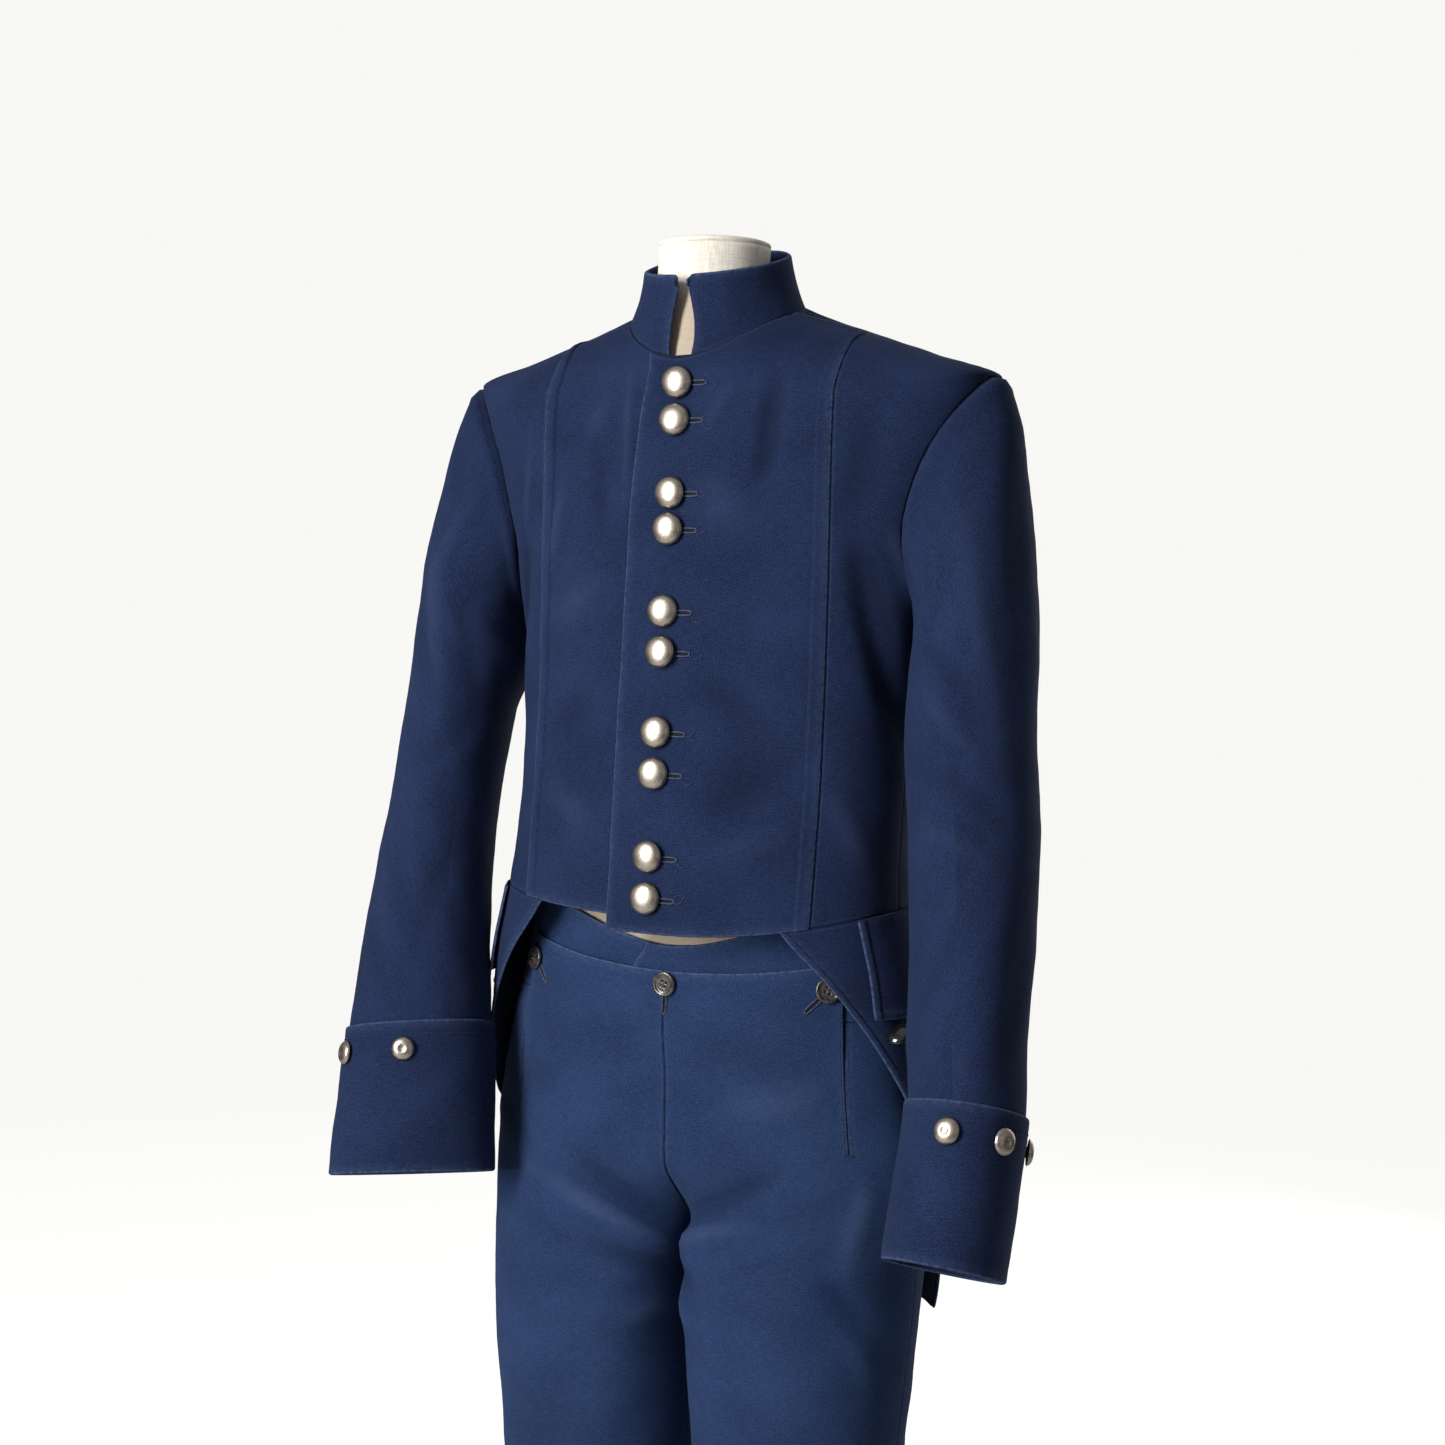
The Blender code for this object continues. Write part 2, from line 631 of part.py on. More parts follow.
def sleeve_piece(side, first, last):
    """One cut piece of a sleeve, between two of the steps around it."""
    phis = [k * SLEEVE_STEP for k in range(first, last + 1)]
    outer = []
    inner = []
    for along in SLEEVE_ALONGS:
        outer_row = []
        inner_row = []
        for phi in phis:
            if along == 0.0:
                point, across, normal = armhole_seam(side, phi)
                point = point + across * (SEAM_GAP * 1.2)
            else:
                point = sleeve_point(side, phi, along)
                normal = sleeve_normal(side, phi, along)
            outer_row.append(point)
            inner_row.append(point - normal * COAT_WALL)
        outer.append(outer_row)
        inner.append(inner_row)
    rows = range(len(outer))
    last = len(phis) - 1
    gap = SLEEVE_SEAM_GAP / 2
    part_edge(outer, inner, [(r, 0) for r in rows], [(r, 1) for r in rows], gap)
    part_edge(outer, inner, [(r, last) for r in rows], [(r, last - 1) for r in rows], gap)
    return outer, inner


def cuff_spot(side, phi, along, rise):
    return sleeve_point(side, phi, along) + sleeve_normal(side, phi, along) * rise


def cuff(side):
    alongs = shared_steps(CUFF_START, CUFF_END, 3)
    phis = [k * SLEEVE_STEP for k in range(SLEEVE_SEGMENTS)]
    outer = [[cuff_spot(side, phi, along, CUFF_RISE + CUFF_WALL) for phi in phis] for along in alongs]
    inner = [[cuff_spot(side, phi, along, CUFF_RISE) for phi in phis] for along in alongs]
    return outer, inner


TAIL_COLUMNS = 9
TAIL_TOP_GAP = 0.0005
TAIL_KEYS = [row.z for row in TAIL[:-1]] + [COAT_HEM - TAIL_TOP_GAP]


def tail(side):
    def angles_at(z):
        start = math.radians(TAIL_CURVES.read("edge_angle", z))
        return shared_steps(start, math.pi - math.radians(VENT_HALF_ANGLE), TAIL_COLUMNS)

    return wall_grid(tail_surface(side), TAIL_KEYS, angles_at, no_rise, COAT_WALL)


POCKET_TOP = 1.060
POCKET_FOOT = 0.993
POCKET_FIRST_ANGLE = 64
POCKET_LAST_ANGLE = 106
POCKET_RISE = 0.0030
POCKET_FOOT_RISE = 0.0042


def pocket_flap(side):
    def rise_at(index, angle, z):
        share = (POCKET_TOP - z) / (POCKET_TOP - POCKET_FOOT)
        return blend(POCKET_RISE, POCKET_FOOT_RISE, share)

    angles = shared_steps(math.radians(POCKET_FIRST_ANGLE), math.radians(POCKET_LAST_ANGLE), 4)
    keys = shared_steps(POCKET_FOOT, POCKET_TOP, 2)
    return wall_grid(tail_surface(side), keys, lambda z: angles, rise_at, COAT_WALL - 0.0002)


FALL_STOPS = (0.0, 0.030, 0.060, 0.090, 0.115)
HIP_COLUMNS_BEYOND = 3
LEG_KEYS = [0.050, 0.250, 0.450, 0.600, 0.700, 0.745, CROTCH]
CROTCH_KEYS = [0.810, 0.840, CROTCH_TOP_FORE, SLIT_FOOT]
FALL_STEPS = 3
TROUSER_BACK_COLUMNS = 7
CENTRE_CLEARANCE = 0.00015


FALL_RISE_FOOT = 0.930
FALL_RISE_MARGIN = 0.008
WAISTBAND_WALL = 0.0018
WAISTBAND_LAP_RISE = 0.0026
WAISTBAND_SHARES = (0.008, 0.5, 1.0)


def fall_half_width(z):
    share = (z - SLIT_FOOT) / (FALL_TOP_SIDE - SLIT_FOOT)
    return blend(FALL_HALF_WIDTH_FOOT, FALL_HALF_WIDTH_TOP, min(max(share, 0.0), 1.0))


def fall_shares(z):
    """Column positions of a trouser front, as shares of the way from its middle to the side."""
    hip_z = max(z, SLIT_FOOT)
    width = fall_half_width(hip_z)
    stops = list(FALL_STOPS) + [width - SLIT_WIDTH, width]
    angles = [angle_at_x(HIP_CURVES, x, hip_z) for x in stops]
    angles += shared_steps(angles[-1], QUARTER, HIP_COLUMNS_BEYOND)[1:]
    return [angle / QUARTER for angle in angles]


def leg_point(share, z, back):
    """Point on a leg's ring: share 0 to 1 runs from the inseam to the side, or on to the inseam."""
    centre_x = LEG_CURVES.read("centre_x", z)
    centre_y = LEG_CURVES.read("centre_y", z)
    turn = math.pi * share
    across = -math.cos(turn) if not back else math.cos(turn)
    along = -math.sin(turn) if not back else math.sin(turn)
    return Vector((centre_x + LEG_CURVES.read("half_wide", z) * across,
                   centre_y + LEG_CURVES.read("half_deep", z) * along, z))


def trouser_point(share, z, back=False):
    """Point on the outer face of a trouser half; a back's share runs from the side to the middle."""
    top = CROTCH_TOP_BACK if back else CROTCH_TOP_FORE
    high = ease((z - CROTCH) / (top - CROTCH))
    if high <= 0.0:
        point = leg_point(share, z, back)
    else:
        angle = QUARTER * (share + 1.0) if back else QUARTER * share
        point = leg_point(share, min(z, CROTCH), back).lerp(hip_point(angle, z), high)
        point.z = z
    point.x = max(point.x, CENTRE_CLEARANCE)
    return point


def trouser_normal(share, z, back):
    step = 0.01
    low = max(share - step, 0.0)
    high = min(share + step, 1.0)
    around = trouser_point(high, z, back) - trouser_point(low, z, back)
    up = trouser_point(share, z + 0.003, back) - trouser_point(share, z - 0.003, back)
    return around.cross(up).normalized()


def fall_top(x):
    share = min(abs(x) / FALL_HALF_WIDTH_TOP, 1.0)
    return blend(FALL_TOP_MIDDLE, FALL_TOP_SIDE, share * share)


def fall_rise(x, z):
    """The fall passes over the waistband, and at the middle over both of its ends."""
    high = ease((z - FALL_RISE_FOOT) / (WAIST_SEAM - FALL_RISE_MARGIN - FALL_RISE_FOOT))
    inner = 1.0 - ease((abs(x) - FALL_STOPS[2]) / (FALL_STOPS[4] - FALL_STOPS[2]))
    return (FALL_RISE + (WAISTBAND_LAP_RISE / 2 + 2 * SEAM_GAP) * inner) * high


def trouser_front(side):
    split = len(FALL_STOPS)
    rows = len(LEG_KEYS) + len(CROTCH_KEYS) - 1
    outer = []
    inner = []
    for row in range(rows + FALL_STEPS + 1):
        outer_row = []
        inner_row = []
        columns = len(fall_shares(SLIT_FOOT))
        for column in range(columns):
            if row <= rows:
                z = (LEG_KEYS + CROTCH_KEYS)[row]
            else:
                x = (list(FALL_STOPS) + [FALL_HALF_WIDTH_TOP])[column] if column <= split else 0.0
                top = fall_top(x) if column <= split else WAIST_SEAM - SEAM_GAP
                z = blend(SLIT_FOOT, top, (row - rows) / FALL_STEPS)
            share = fall_shares(z)[column]
            point = trouser_point(share, z)
            normal = trouser_normal(share, z, False)
            rise = fall_rise(point.x, z) if column <= split else 0.0
            outer_row.append(point + normal * rise)
            inner_row.append(point + normal * (rise - TROUSER_WALL))
        outer.append(outer_row)
        inner.append(inner_row)
    part_seams(outer, inner, ["last"])
    low_rows = range(len(LEG_KEYS))
    part_edge(outer, inner, [(r, 0) for r in low_rows], [(r, 1) for r in low_rows])

    def keep(r, c):
        return not (c == split and r >= rows)

    return outer, inner, keep


def trouser_back(side):
    keys = LEG_KEYS + CROTCH_KEYS + shared_steps(SLIT_FOOT, WAIST_SEAM - SEAM_GAP, FALL_STEPS)[1:]
    outer = []
    inner = []
    for z in keys:
        points = []
        insides = []
        for share in shared_steps(0.0, 1.0, TROUSER_BACK_COLUMNS):
            point = trouser_point(share, z, True)
            points.append(point)
            insides.append(point - trouser_normal(share, z, True) * TROUSER_WALL)
        outer.append(points)
        inner.append(insides)
    part_seams(outer, inner, ["first"])
    low_rows = range(len(LEG_KEYS))
    last = TROUSER_BACK_COLUMNS
    part_edge(outer, inner, [(r, last) for r in low_rows], [(r, last - 1) for r in low_rows])
    return outer, inner


BEARER_FOOT = 0.905
BEARER_KEYS = [BEARER_FOOT, 0.935, 0.960, WAIST_SEAM - SEAM_GAP]
BEARER_GAP = 0.0012


def bearer(side):
    def angles_at(z):
        stops = [0.002] + list(FALL_STOPS[1:]) + [fall_half_width(z)]
        angles = [angle_at_x(HIP_CURVES, x, z) for x in stops]
        return angles + [blend(angles[-1], QUARTER, 1.0 / HIP_COLUMNS_BEYOND)]

    def rise_at(index, angle, z):
        return -TROUSER_WALL - BEARER_GAP

    return wall_grid(hip_point, BEARER_KEYS, angles_at, rise_at, TROUSER_WALL)


def waistband_top(x):
    share = min(abs(x) / FALL_HALF_WIDTH_TOP, 1.0)
    return blend(WAISTBAND_TOP, WAISTBAND_TOP_SIDE, ease(share))


def waistband(side):
    """Half a waistband; the wearer's left one ends in a tip that laps over the right one."""
    first_x = WAISTBAND_TIP_X if side > 0 else -WAISTBAND_UNDER_X

    def surface(angle, share):
        x = hip_point(min(angle, QUARTER), WAISTBAND_TOP).x
        return hip_point(angle, blend(WAIST_SEAM, waistband_top(x), share))

    def angles_at(share):
        z = blend(WAIST_SEAM, WAISTBAND_TOP, share)
        stops = [first_x] + list(FALL_STOPS) + [fall_half_width(z)]
        angles = [angle_at_x(HIP_CURVES, x, z) for x in stops]
        angles += shared_steps(angles[-1], QUARTER, HIP_COLUMNS_BEYOND)[1:]
        return angles + shared_steps(QUARTER, math.pi, TROUSER_BACK_COLUMNS)[1:]

    def rise_at(index, angle, share):
        x = hip_point(min(angle, QUARTER), WAISTBAND_TOP).x
        near = 1.0 - ease((x - WAISTBAND_UNDER_X) / (FALL_STOPS[3] - WAISTBAND_UNDER_X))
        return WAISTBAND_LAP_RISE / 2 * near * side

    outer, inner = wall_grid(surface, WAISTBAND_SHARES, angles_at, rise_at, WAISTBAND_WALL)
    part_seams(outer, inner, ["last"])
    return outer, inner


def ring_solid(name, rings, colour, roughness, metallic=0.0, mirrored=False):
    """A closed solid through rings of points, from the lowest to the highest, with capped ends."""
    count = len(rings[0])
    turned_from = count // 2 if mirrored else count
    vertices = [point for ring in rings for point in ring]
    faces = []
    for r in range(len(rings) - 1):
        for c in range(count):
            beside = (c + 1) % count
            face = (r * count + c, r * count + beside,
                    (r + 1) * count + beside, (r + 1) * count + c)
            faces.append(face if c < turned_from else face[1:] + face[:1])
    last = (len(rings) - 1) * count
    for start, points, facing_down in ((0, rings[0], True), (last, rings[-1], False)):
        centre = len(vertices)
        vertices.append(sum(points, Vector()) / count)
        for c in range(count):
            edge = (start + c, start + (c + 1) % count)
            faces.append((edge[1], edge[0], centre) if facing_down else (edge[0], edge[1], centre))
    return add_piece(name, vertices, faces, colour, roughness, metallic)


def add_button(name, point, normal, radius, height, profile, colour, metallic, roughness):
    """A round button whose flat foot rests just above a point of the cloth."""
    foot = point + normal * SEAM_GAP * 1.5
    side = normal.orthogonal().normalized()
    up = normal.cross(side)
    rings = []
    for row in profile:
        ring = []
        for k in range(BUTTON_SIDES):
            turn = 2 * math.pi * k / BUTTON_SIDES
            spoke = side * math.cos(turn) + up * math.sin(turn)
            ring.append(foot + spoke * radius * row.radius_share + normal * height * row.height_share)
        rings.append(ring)
    return ring_solid(name, rings, colour, roughness, metallic)


def level_of_height(z):
    """Level of the coat's ring whose centre front lies at the height z."""
    low = COAT_HEM
    high = NECK_SEAM
    for step in range(40):
        middle = (low + high) / 2
        if COAT_CURVES.read("fore_z", middle) < z:
            low = middle
        else:
            high = middle
    return low


def coat_buttons():
    for index, z in enumerate(COAT_BUTTON_HEIGHTS):
        level = level_of_height(z)
        normal = normal_of(coat_point, 0.0, level)
        add_button(f"coat_button_{index + 1:02d}", coat_point(0.0, level) + normal * LAP_RISE,
                   normal, COAT_BUTTON_RADIUS, COAT_BUTTON_HEIGHT, DOME, "metal", 0.9, 0.4)


def cuff_buttons(side, word):
    for index, phi in enumerate(CUFF_BUTTON_PHIS[side]):
        turn = math.radians(phi)
        along = CUFF_START + CUFF_BUTTON_DROP
        point = cuff_spot(side, turn, along, CUFF_RISE + CUFF_WALL - SEAM_GAP)
        normal = sleeve_normal(side, turn, along)
        point.x *= side
        normal.x *= side
        add_button(f"cuff_button_{word}_{index + 1}", point, normal, CUFF_BUTTON_RADIUS,
                   CUFF_BUTTON_HEIGHT, DOME, "metal", 0.9, 0.4)


def fall_buttons():
    for word, x in FALL_BUTTON_X.items():
        z = FALL_BUTTON_Z + (0.004 if word != "middle" else 0.0)
        angle = angle_at_x(HIP_CURVES, x, z)
        normal = normal_of(hip_point, angle, z)
        add_button(f"fall_button_{word}", hip_point(angle, z) + normal * fall_rise(x, z), normal,
                   FALL_BUTTON_RADIUS, FALL_BUTTON_HEIGHT, DISC, "horn", 0.0, 0.35)


def pocket_button(side, word):
    angle = math.radians(POCKET_BUTTON_ANGLES[side])
    point = tail_point(angle, POCKET_BUTTON_Z)
    normal = normal_of(tail_point, angle, POCKET_BUTTON_Z)
    point.x *= side
    normal.x *= side
    add_button(f"pocket_button_{word}", point, normal, FALL_BUTTON_RADIUS, FALL_BUTTON_HEIGHT,
               DOME, "horn", 0.0, 0.2)


FORM_CONTACT = COAT_WALL + FORM_CLEARANCE
FormRow = namedtuple("FormRow", "key depth")
FORM_COAT_ROWS = (
    FormRow(1.115, 0.020), FormRow(1.160, 0.014), FormRow(1.255, 0.011), FormRow(1.345, 0.011),
    FormRow(1.400, 0.010), FormRow(1.4557, 0.009), FormRow(1.476, 0.008),
    FormRow(SHOULDER_TIP, 0.0080), FormRow(1.493, 0.0065), FormRow(1.502, 0.0050),
    FormRow(1.509, 0.0038), FormRow(1.514, FORM_CONTACT), FormRow(PRINCESS_TOP, 0.0030),
    FormRow(1.5245, 0.0045),
)
FORM_HIP_ROWS = (
    FormRow(FORM_FOOT, 0.014), FormRow(0.900, 0.010), FormRow(0.940, 0.009), FormRow(0.982, 0.009),
    FormRow(0.996, 0.0036), FormRow(1.028, 0.0031), FormRow(1.062, 0.0031),
)
WAIST_FORE_DEPTH = 0.0032
WAIST_FORE_FADE = math.cos(math.radians(68))
NeckRow = namedtuple("NeckRow", "radius fore_z back_z")
NECK_ROWS = (
    NeckRow(0.0480, 1.512, 1.546),
    NeckRow(0.0455, 1.545, 1.560),
    NeckRow(0.0445, 1.568, 1.571),
    NeckRow(0.0450, NECK_TOP, NECK_TOP),
)


def form_torso():
    def both_sides(half):
        mirrored = [Vector((-p.x, p.y, p.z)) for p in reversed(half[1:-1])]
        return half + mirrored

    def coat_angles(level):
        front = front_angles(level, 0.0)
        turns = [0.0] + front[1:]
        turns += shared_steps(front[-1], QUARTER, SIDE_COLUMNS)[1:] if front[-1] < QUARTER else []
        return turns + shared_steps(QUARTER, math.pi, BACK_COLUMNS)[1:]

    count = len(coat_angles(SHOULDER_TIP))

    def hip_angles(z):
        stops = [angle_at_x(HIP_CURVES, x, z) for x in FALL_STOPS[:-1]]
        stops.append(angle_at_x(HIP_CURVES, FALL_STOPS[-1], z))
        beyond = shared_steps(stops[-1], QUARTER, count - len(stops) - BACK_COLUMNS)[1:]
        return stops + beyond + shared_steps(QUARTER, math.pi, BACK_COLUMNS)[1:]

    def depth_at(surface, angle, row):
        """The form is flatter behind the fall, where three layers of cloth lie over it."""
        if surface is coat_point or row.key < WAIST_SEAM:
            return row.depth
        return row.depth + WAIST_FORE_DEPTH * ease(math.cos(angle) / WAIST_FORE_FADE)

    def ring(surface, angles, row):
        half = [surface(angle, row.key)
                - normal_of(surface, angle, row.key) * depth_at(surface, angle, row)
                for angle in angles]
        half[0].x = 0.0
        half[-1].x = 0.0
        return both_sides(half)

    rings = [ring(hip_point, hip_angles(row.key), row) for row in FORM_HIP_ROWS]
    for point in rings[0]:
        point.z = FORM_FOOT
    for row in FORM_COAT_ROWS:
        angles = coat_angles(row.key)
        if len(angles) < count:
            angles = angles[:-BACK_COLUMNS - 1] + shared_steps(
                angles[-BACK_COLUMNS - 1] - 0.02, QUARTER, count - len(angles)) + angles[-BACK_COLUMNS:]
        rings.append(ring(coat_point, angles, row))
    for row in NECK_ROWS:
        half = []
        for angle in coat_angles(SHOULDER_TIP):
            half.append(Vector((row.radius * math.sin(angle),
                                NECK_CENTRE_Y - row.radius * math.cos(angle),
                                blend(row.fore_z, row.back_z, (1.0 - math.cos(angle)) / 2.0))))
        whole = both_sides(half)
        rings.append([Vector((p.x + NECK_CENTRE_X, p.y, p.z)) for p in whole])
    ring_solid("form_torso", rings, "calico", 0.9, mirrored=True)


LatheRow = namedtuple("LatheRow", "radius z")
CAP = (
    LatheRow(0.0445, NECK_TOP + SEAM_GAP),
    LatheRow(0.0452, NECK_TOP + 0.0025),
    LatheRow(0.0400, NECK_TOP + 0.0050),
    LatheRow(0.0200, NECK_TOP + CAP_RISE),
)
POLE = (
    LatheRow(POLE_RADIUS, BASE_HEIGHT + SEAM_GAP),
    LatheRow(POLE_RADIUS, FORM_FOOT - POLE_SEAT_GAP),
)
BASE = (
    LatheRow(BASE_RADIUS, 0.0),
    LatheRow(BASE_RADIUS, BASE_HEIGHT - 0.003),
    LatheRow(BASE_RADIUS - 0.003, BASE_HEIGHT),
)


def turned(name, rows, x, y, sides, colour, roughness, metallic=0.0):
    rings = []
    for row in rows:
        turns = [2 * math.pi * k / sides for k in range(sides)]
        rings.append([Vector((x + row.radius * math.cos(t), y + row.radius * math.sin(t), row.z))
                      for t in turns])
    return ring_solid(name, rings, colour, roughness, metallic)


def main():
    for item in list(bpy.data.objects):
        bpy.data.objects.remove(item, do_unlink=True)
    for side, word in ((1, "left"), (-1, "right")):
        cloth_piece(f"coat_front_{word}", *coat_front(side), side=side)
        cloth_piece(f"coat_side_{word}", *coat_side(side), side=side)
        cloth_piece(f"coat_back_{word}", *coat_back(side), side=side)
        cloth_piece(f"sleeve_{word}_upper", *sleeve_piece(side, -SLEEVE_SEAM, SLEEVE_SEAM), side=side)
        under_end = SLEEVE_SEGMENTS - SLEEVE_SEAM
        cloth_piece(f"sleeve_{word}_under", *sleeve_piece(side, SLEEVE_SEAM, under_end), side=side)
        cloth_piece(f"cuff_{word}", *cuff(side), side=side, closed=True)
        cloth_piece(f"tail_{word}", *tail(side), side=side)
        cloth_piece(f"pocket_flap_{word}", *pocket_flap(side), side=side)
        outer, inner, keep = trouser_front(side)
        cloth_piece(f"trouser_front_{word}", outer, inner, side=side, keep=keep)
        cloth_piece(f"trouser_back_{word}", *trouser_back(side), side=side)
        cloth_piece(f"bearer_{word}", *bearer(side), side=side)
        cloth_piece(f"waistband_{word}", *waistband(side), side=side)
        cuff_buttons(side, word)
        pocket_button(side, word)
    cloth_piece("collar", *collar())
    coat_buttons()
    fall_buttons()
    form_torso()
    turned("form_neck_cap", CAP, NECK_CENTRE_X, NECK_CENTRE_Y, 20, "calico", 0.9)
    turned("stand_pole", POLE, POLE_X, POLE_Y, 16, "stand", 0.4, 0.8)
    turned("stand_base", BASE, 0.0, 0.0, 32, "stand", 0.4, 0.8)


main()
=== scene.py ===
"""Looks of the stage costume on its dress form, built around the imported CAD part.

Metres, +Z up. The wearer faces -Y, so the wearer's left side is +X.
"""
import json
import math
from collections import namedtuple

import bpy
import numpy as np
from mathutils import Matrix, Vector

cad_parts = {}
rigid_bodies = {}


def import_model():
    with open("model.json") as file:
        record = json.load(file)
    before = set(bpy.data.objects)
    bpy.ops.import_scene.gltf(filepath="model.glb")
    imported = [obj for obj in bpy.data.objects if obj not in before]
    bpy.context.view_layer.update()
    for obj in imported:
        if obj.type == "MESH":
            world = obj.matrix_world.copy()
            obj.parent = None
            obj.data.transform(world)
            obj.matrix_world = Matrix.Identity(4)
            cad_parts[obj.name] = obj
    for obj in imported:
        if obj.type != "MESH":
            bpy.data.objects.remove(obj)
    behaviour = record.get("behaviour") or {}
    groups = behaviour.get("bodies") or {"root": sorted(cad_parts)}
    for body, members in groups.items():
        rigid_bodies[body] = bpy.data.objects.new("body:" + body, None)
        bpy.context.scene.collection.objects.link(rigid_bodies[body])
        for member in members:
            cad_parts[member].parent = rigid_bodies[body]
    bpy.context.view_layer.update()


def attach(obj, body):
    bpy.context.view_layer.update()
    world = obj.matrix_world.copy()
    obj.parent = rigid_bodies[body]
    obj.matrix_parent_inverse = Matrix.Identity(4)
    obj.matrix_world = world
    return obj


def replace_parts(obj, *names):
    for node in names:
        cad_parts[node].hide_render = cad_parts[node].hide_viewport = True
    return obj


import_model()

# Walls and heights, as in the CAD part
SEAM_GAP = 0.0003
COAT_WALL = 0.0018
TROUSER_WALL = 0.0016
LAP_RISE = COAT_WALL + 0.0016
COAT_HEM = 1.072
ARMPIT = 1.296
SHOULDER_TIP = 1.483
PRINCESS_TOP = 1.517
NECK_SEAM = 1.532
PRINCESS_X = 0.127
LAP_EDGE_RISE = 0.0015
RIGHT_HEM_LIFT = 0.0103
RIGHT_LIFT_REACH = 0.12
UNDERLAP_X = 0.028
LAP_FADE_START = 0.040
LAP_FADE_END = 0.080
ARMHOLE_FORE_REACH = 0.053
ARMHOLE_BACK_REACH = 0.066
TROUSER_HEM = 0.050
CROTCH = 0.780
CROTCH_TOP_FORE = 0.868
CROTCH_TOP_BACK = 0.900
SLIT_FOOT = 0.883
SLIT_WIDTH = 0.0016
FALL_HALF_WIDTH_TOP = 0.139
FALL_HALF_WIDTH_FOOT = 0.152
FALL_TOP_MIDDLE = 1.0155
FALL_TOP_SIDE = 1.030
WAIST_SEAM = 0.985
WAISTBAND_TOP = 1.035
WAISTBAND_TOP_SIDE = 1.062
FORM_FOOT = 0.885
NECK_X = -0.004
NECK_Y = -0.026
NECK_TOP = 1.5865
QUARTER = math.pi / 2
NORMAL_STEP = 0.004
CENTRE_CLEARANCE = 0.0004

CoatRow = namedtuple("CoatRow", "side_z fore_z back_z half_width fore_y side_y back_y square")
COAT = (
    CoatRow(1.072, 1.049, 1.075, 0.172, -0.116, -0.026, 0.098, 2.25),
    CoatRow(1.115, 1.099, 1.118, 0.169, -0.1125, -0.020, 0.097, 2.25),
    CoatRow(1.160, 1.153, 1.163, 0.168, -0.108, -0.014, 0.101, 2.25),
    CoatRow(1.210, 1.205, 1.213, 0.170, -0.104, -0.008, 0.107, 2.3),
    CoatRow(1.255, 1.251, 1.258, 0.174, -0.100, -0.003, 0.113, 2.35),
    CoatRow(1.296, 1.292, 1.300, 0.179, -0.0975, 0.002, 0.117, 2.4),
    CoatRow(1.345, 1.339, 1.350, 0.188, -0.094, 0.003, 0.119, 2.4),
    CoatRow(1.400, 1.390, 1.407, 0.206, -0.0905, 0.003, 0.115, 2.4),
    CoatRow(1.450, 1.435, 1.463, 0.2195, -0.087, 0.002, 0.105, 2.4),
    CoatRow(1.483, 1.460, 1.501, 0.2275, -0.0845, 0.000, 0.093, 2.4),
    CoatRow(1.502, 1.473, 1.522, 0.175, -0.083, -0.003, 0.081, 2.35),
    CoatRow(1.517, 1.484, 1.540, 0.125, -0.0830, -0.009, 0.067, 2.25),
    CoatRow(1.532, 1.495, 1.556, 0.072, -0.0868, -0.025, 0.040, 2.05),
)
SleeveRow = namedtuple(
    "SleeveRow", "along centre_x centre_y centre_z half_wide half_deep lean turn fore_up")
SHOULDER_ROWS = (
    SleeveRow(0.000, 0.2020, 0.001, 1.3895, 0.0965, 0.062, 74, 0, 0),
    SleeveRow(0.014, 0.2078, 0.000, 1.3798, 0.0947, 0.0620, 72.4, 0, 0),
    SleeveRow(0.034, 0.2130, -0.003, 1.362, 0.0884, 0.0625, 68, 0, 0),
    SleeveRow(0.062, 0.2178, -0.009, 1.3363, 0.0767, 0.0620, 60.5, 0, 2),
    SleeveRow(0.098, 0.2225, -0.018, 1.303, 0.0637, 0.0605, 47.5, 0, 5),
)
SLEEVE_LEFT = SHOULDER_ROWS + (
    SleeveRow(0.140, 0.2285, -0.030, 1.262, 0.0545, 0.0590, 29, -6, 9),
    SleeveRow(0.190, 0.2350, -0.046, 1.215, 0.0500, 0.0580, 9, -16, 13),
    SleeveRow(0.270, 0.2505, -0.073, 1.140, 0.0490, 0.0580, -1, -28, 16),
    SleeveRow(0.350, 0.2640, -0.103, 1.067, 0.0455, 0.0590, -4, -28, 17),
    SleeveRow(0.430, 0.2720, -0.128, 0.992, 0.0430, 0.0600, -7, -28, 17),
    SleeveRow(0.480, 0.2790, -0.143, 0.944, 0.0420, 0.0610, -9, -28, 17),
    SleeveRow(0.600, 0.2760, -0.170, 0.840, 0.0425, 0.0625, -11, -28, 17),
)
SLEEVE_RIGHT = SHOULDER_ROWS + (
    SleeveRow(0.140, 0.2300, -0.021, 1.262, 0.0510, 0.0610, 28, 10, 9),
    SleeveRow(0.190, 0.2365, -0.028, 1.215, 0.0455, 0.0625, 9, 24, 12),
    SleeveRow(0.270, 0.2385, -0.045, 1.140, 0.0455, 0.0600, 2, 28, 14),
    SleeveRow(0.350, 0.2360, -0.066, 1.067, 0.0495, 0.0560, -1, 28, 15),
    SleeveRow(0.430, 0.2290, -0.087, 0.992, 0.0550, 0.0510, -3, 28, 15),
    SleeveRow(0.480, 0.2225, -0.100, 0.944, 0.0590, 0.0475, -4, 28, 15),
    SleeveRow(0.600, 0.2120, -0.124, 0.832, 0.0655, 0.0390, -3, 28, 15),
)
SLEEVE_END = 0.505
CUFF_START = 0.474
CUFF_END = 0.598
TailRow = namedtuple("TailRow", "z half_width fore_y side_y back_y square edge_angle")
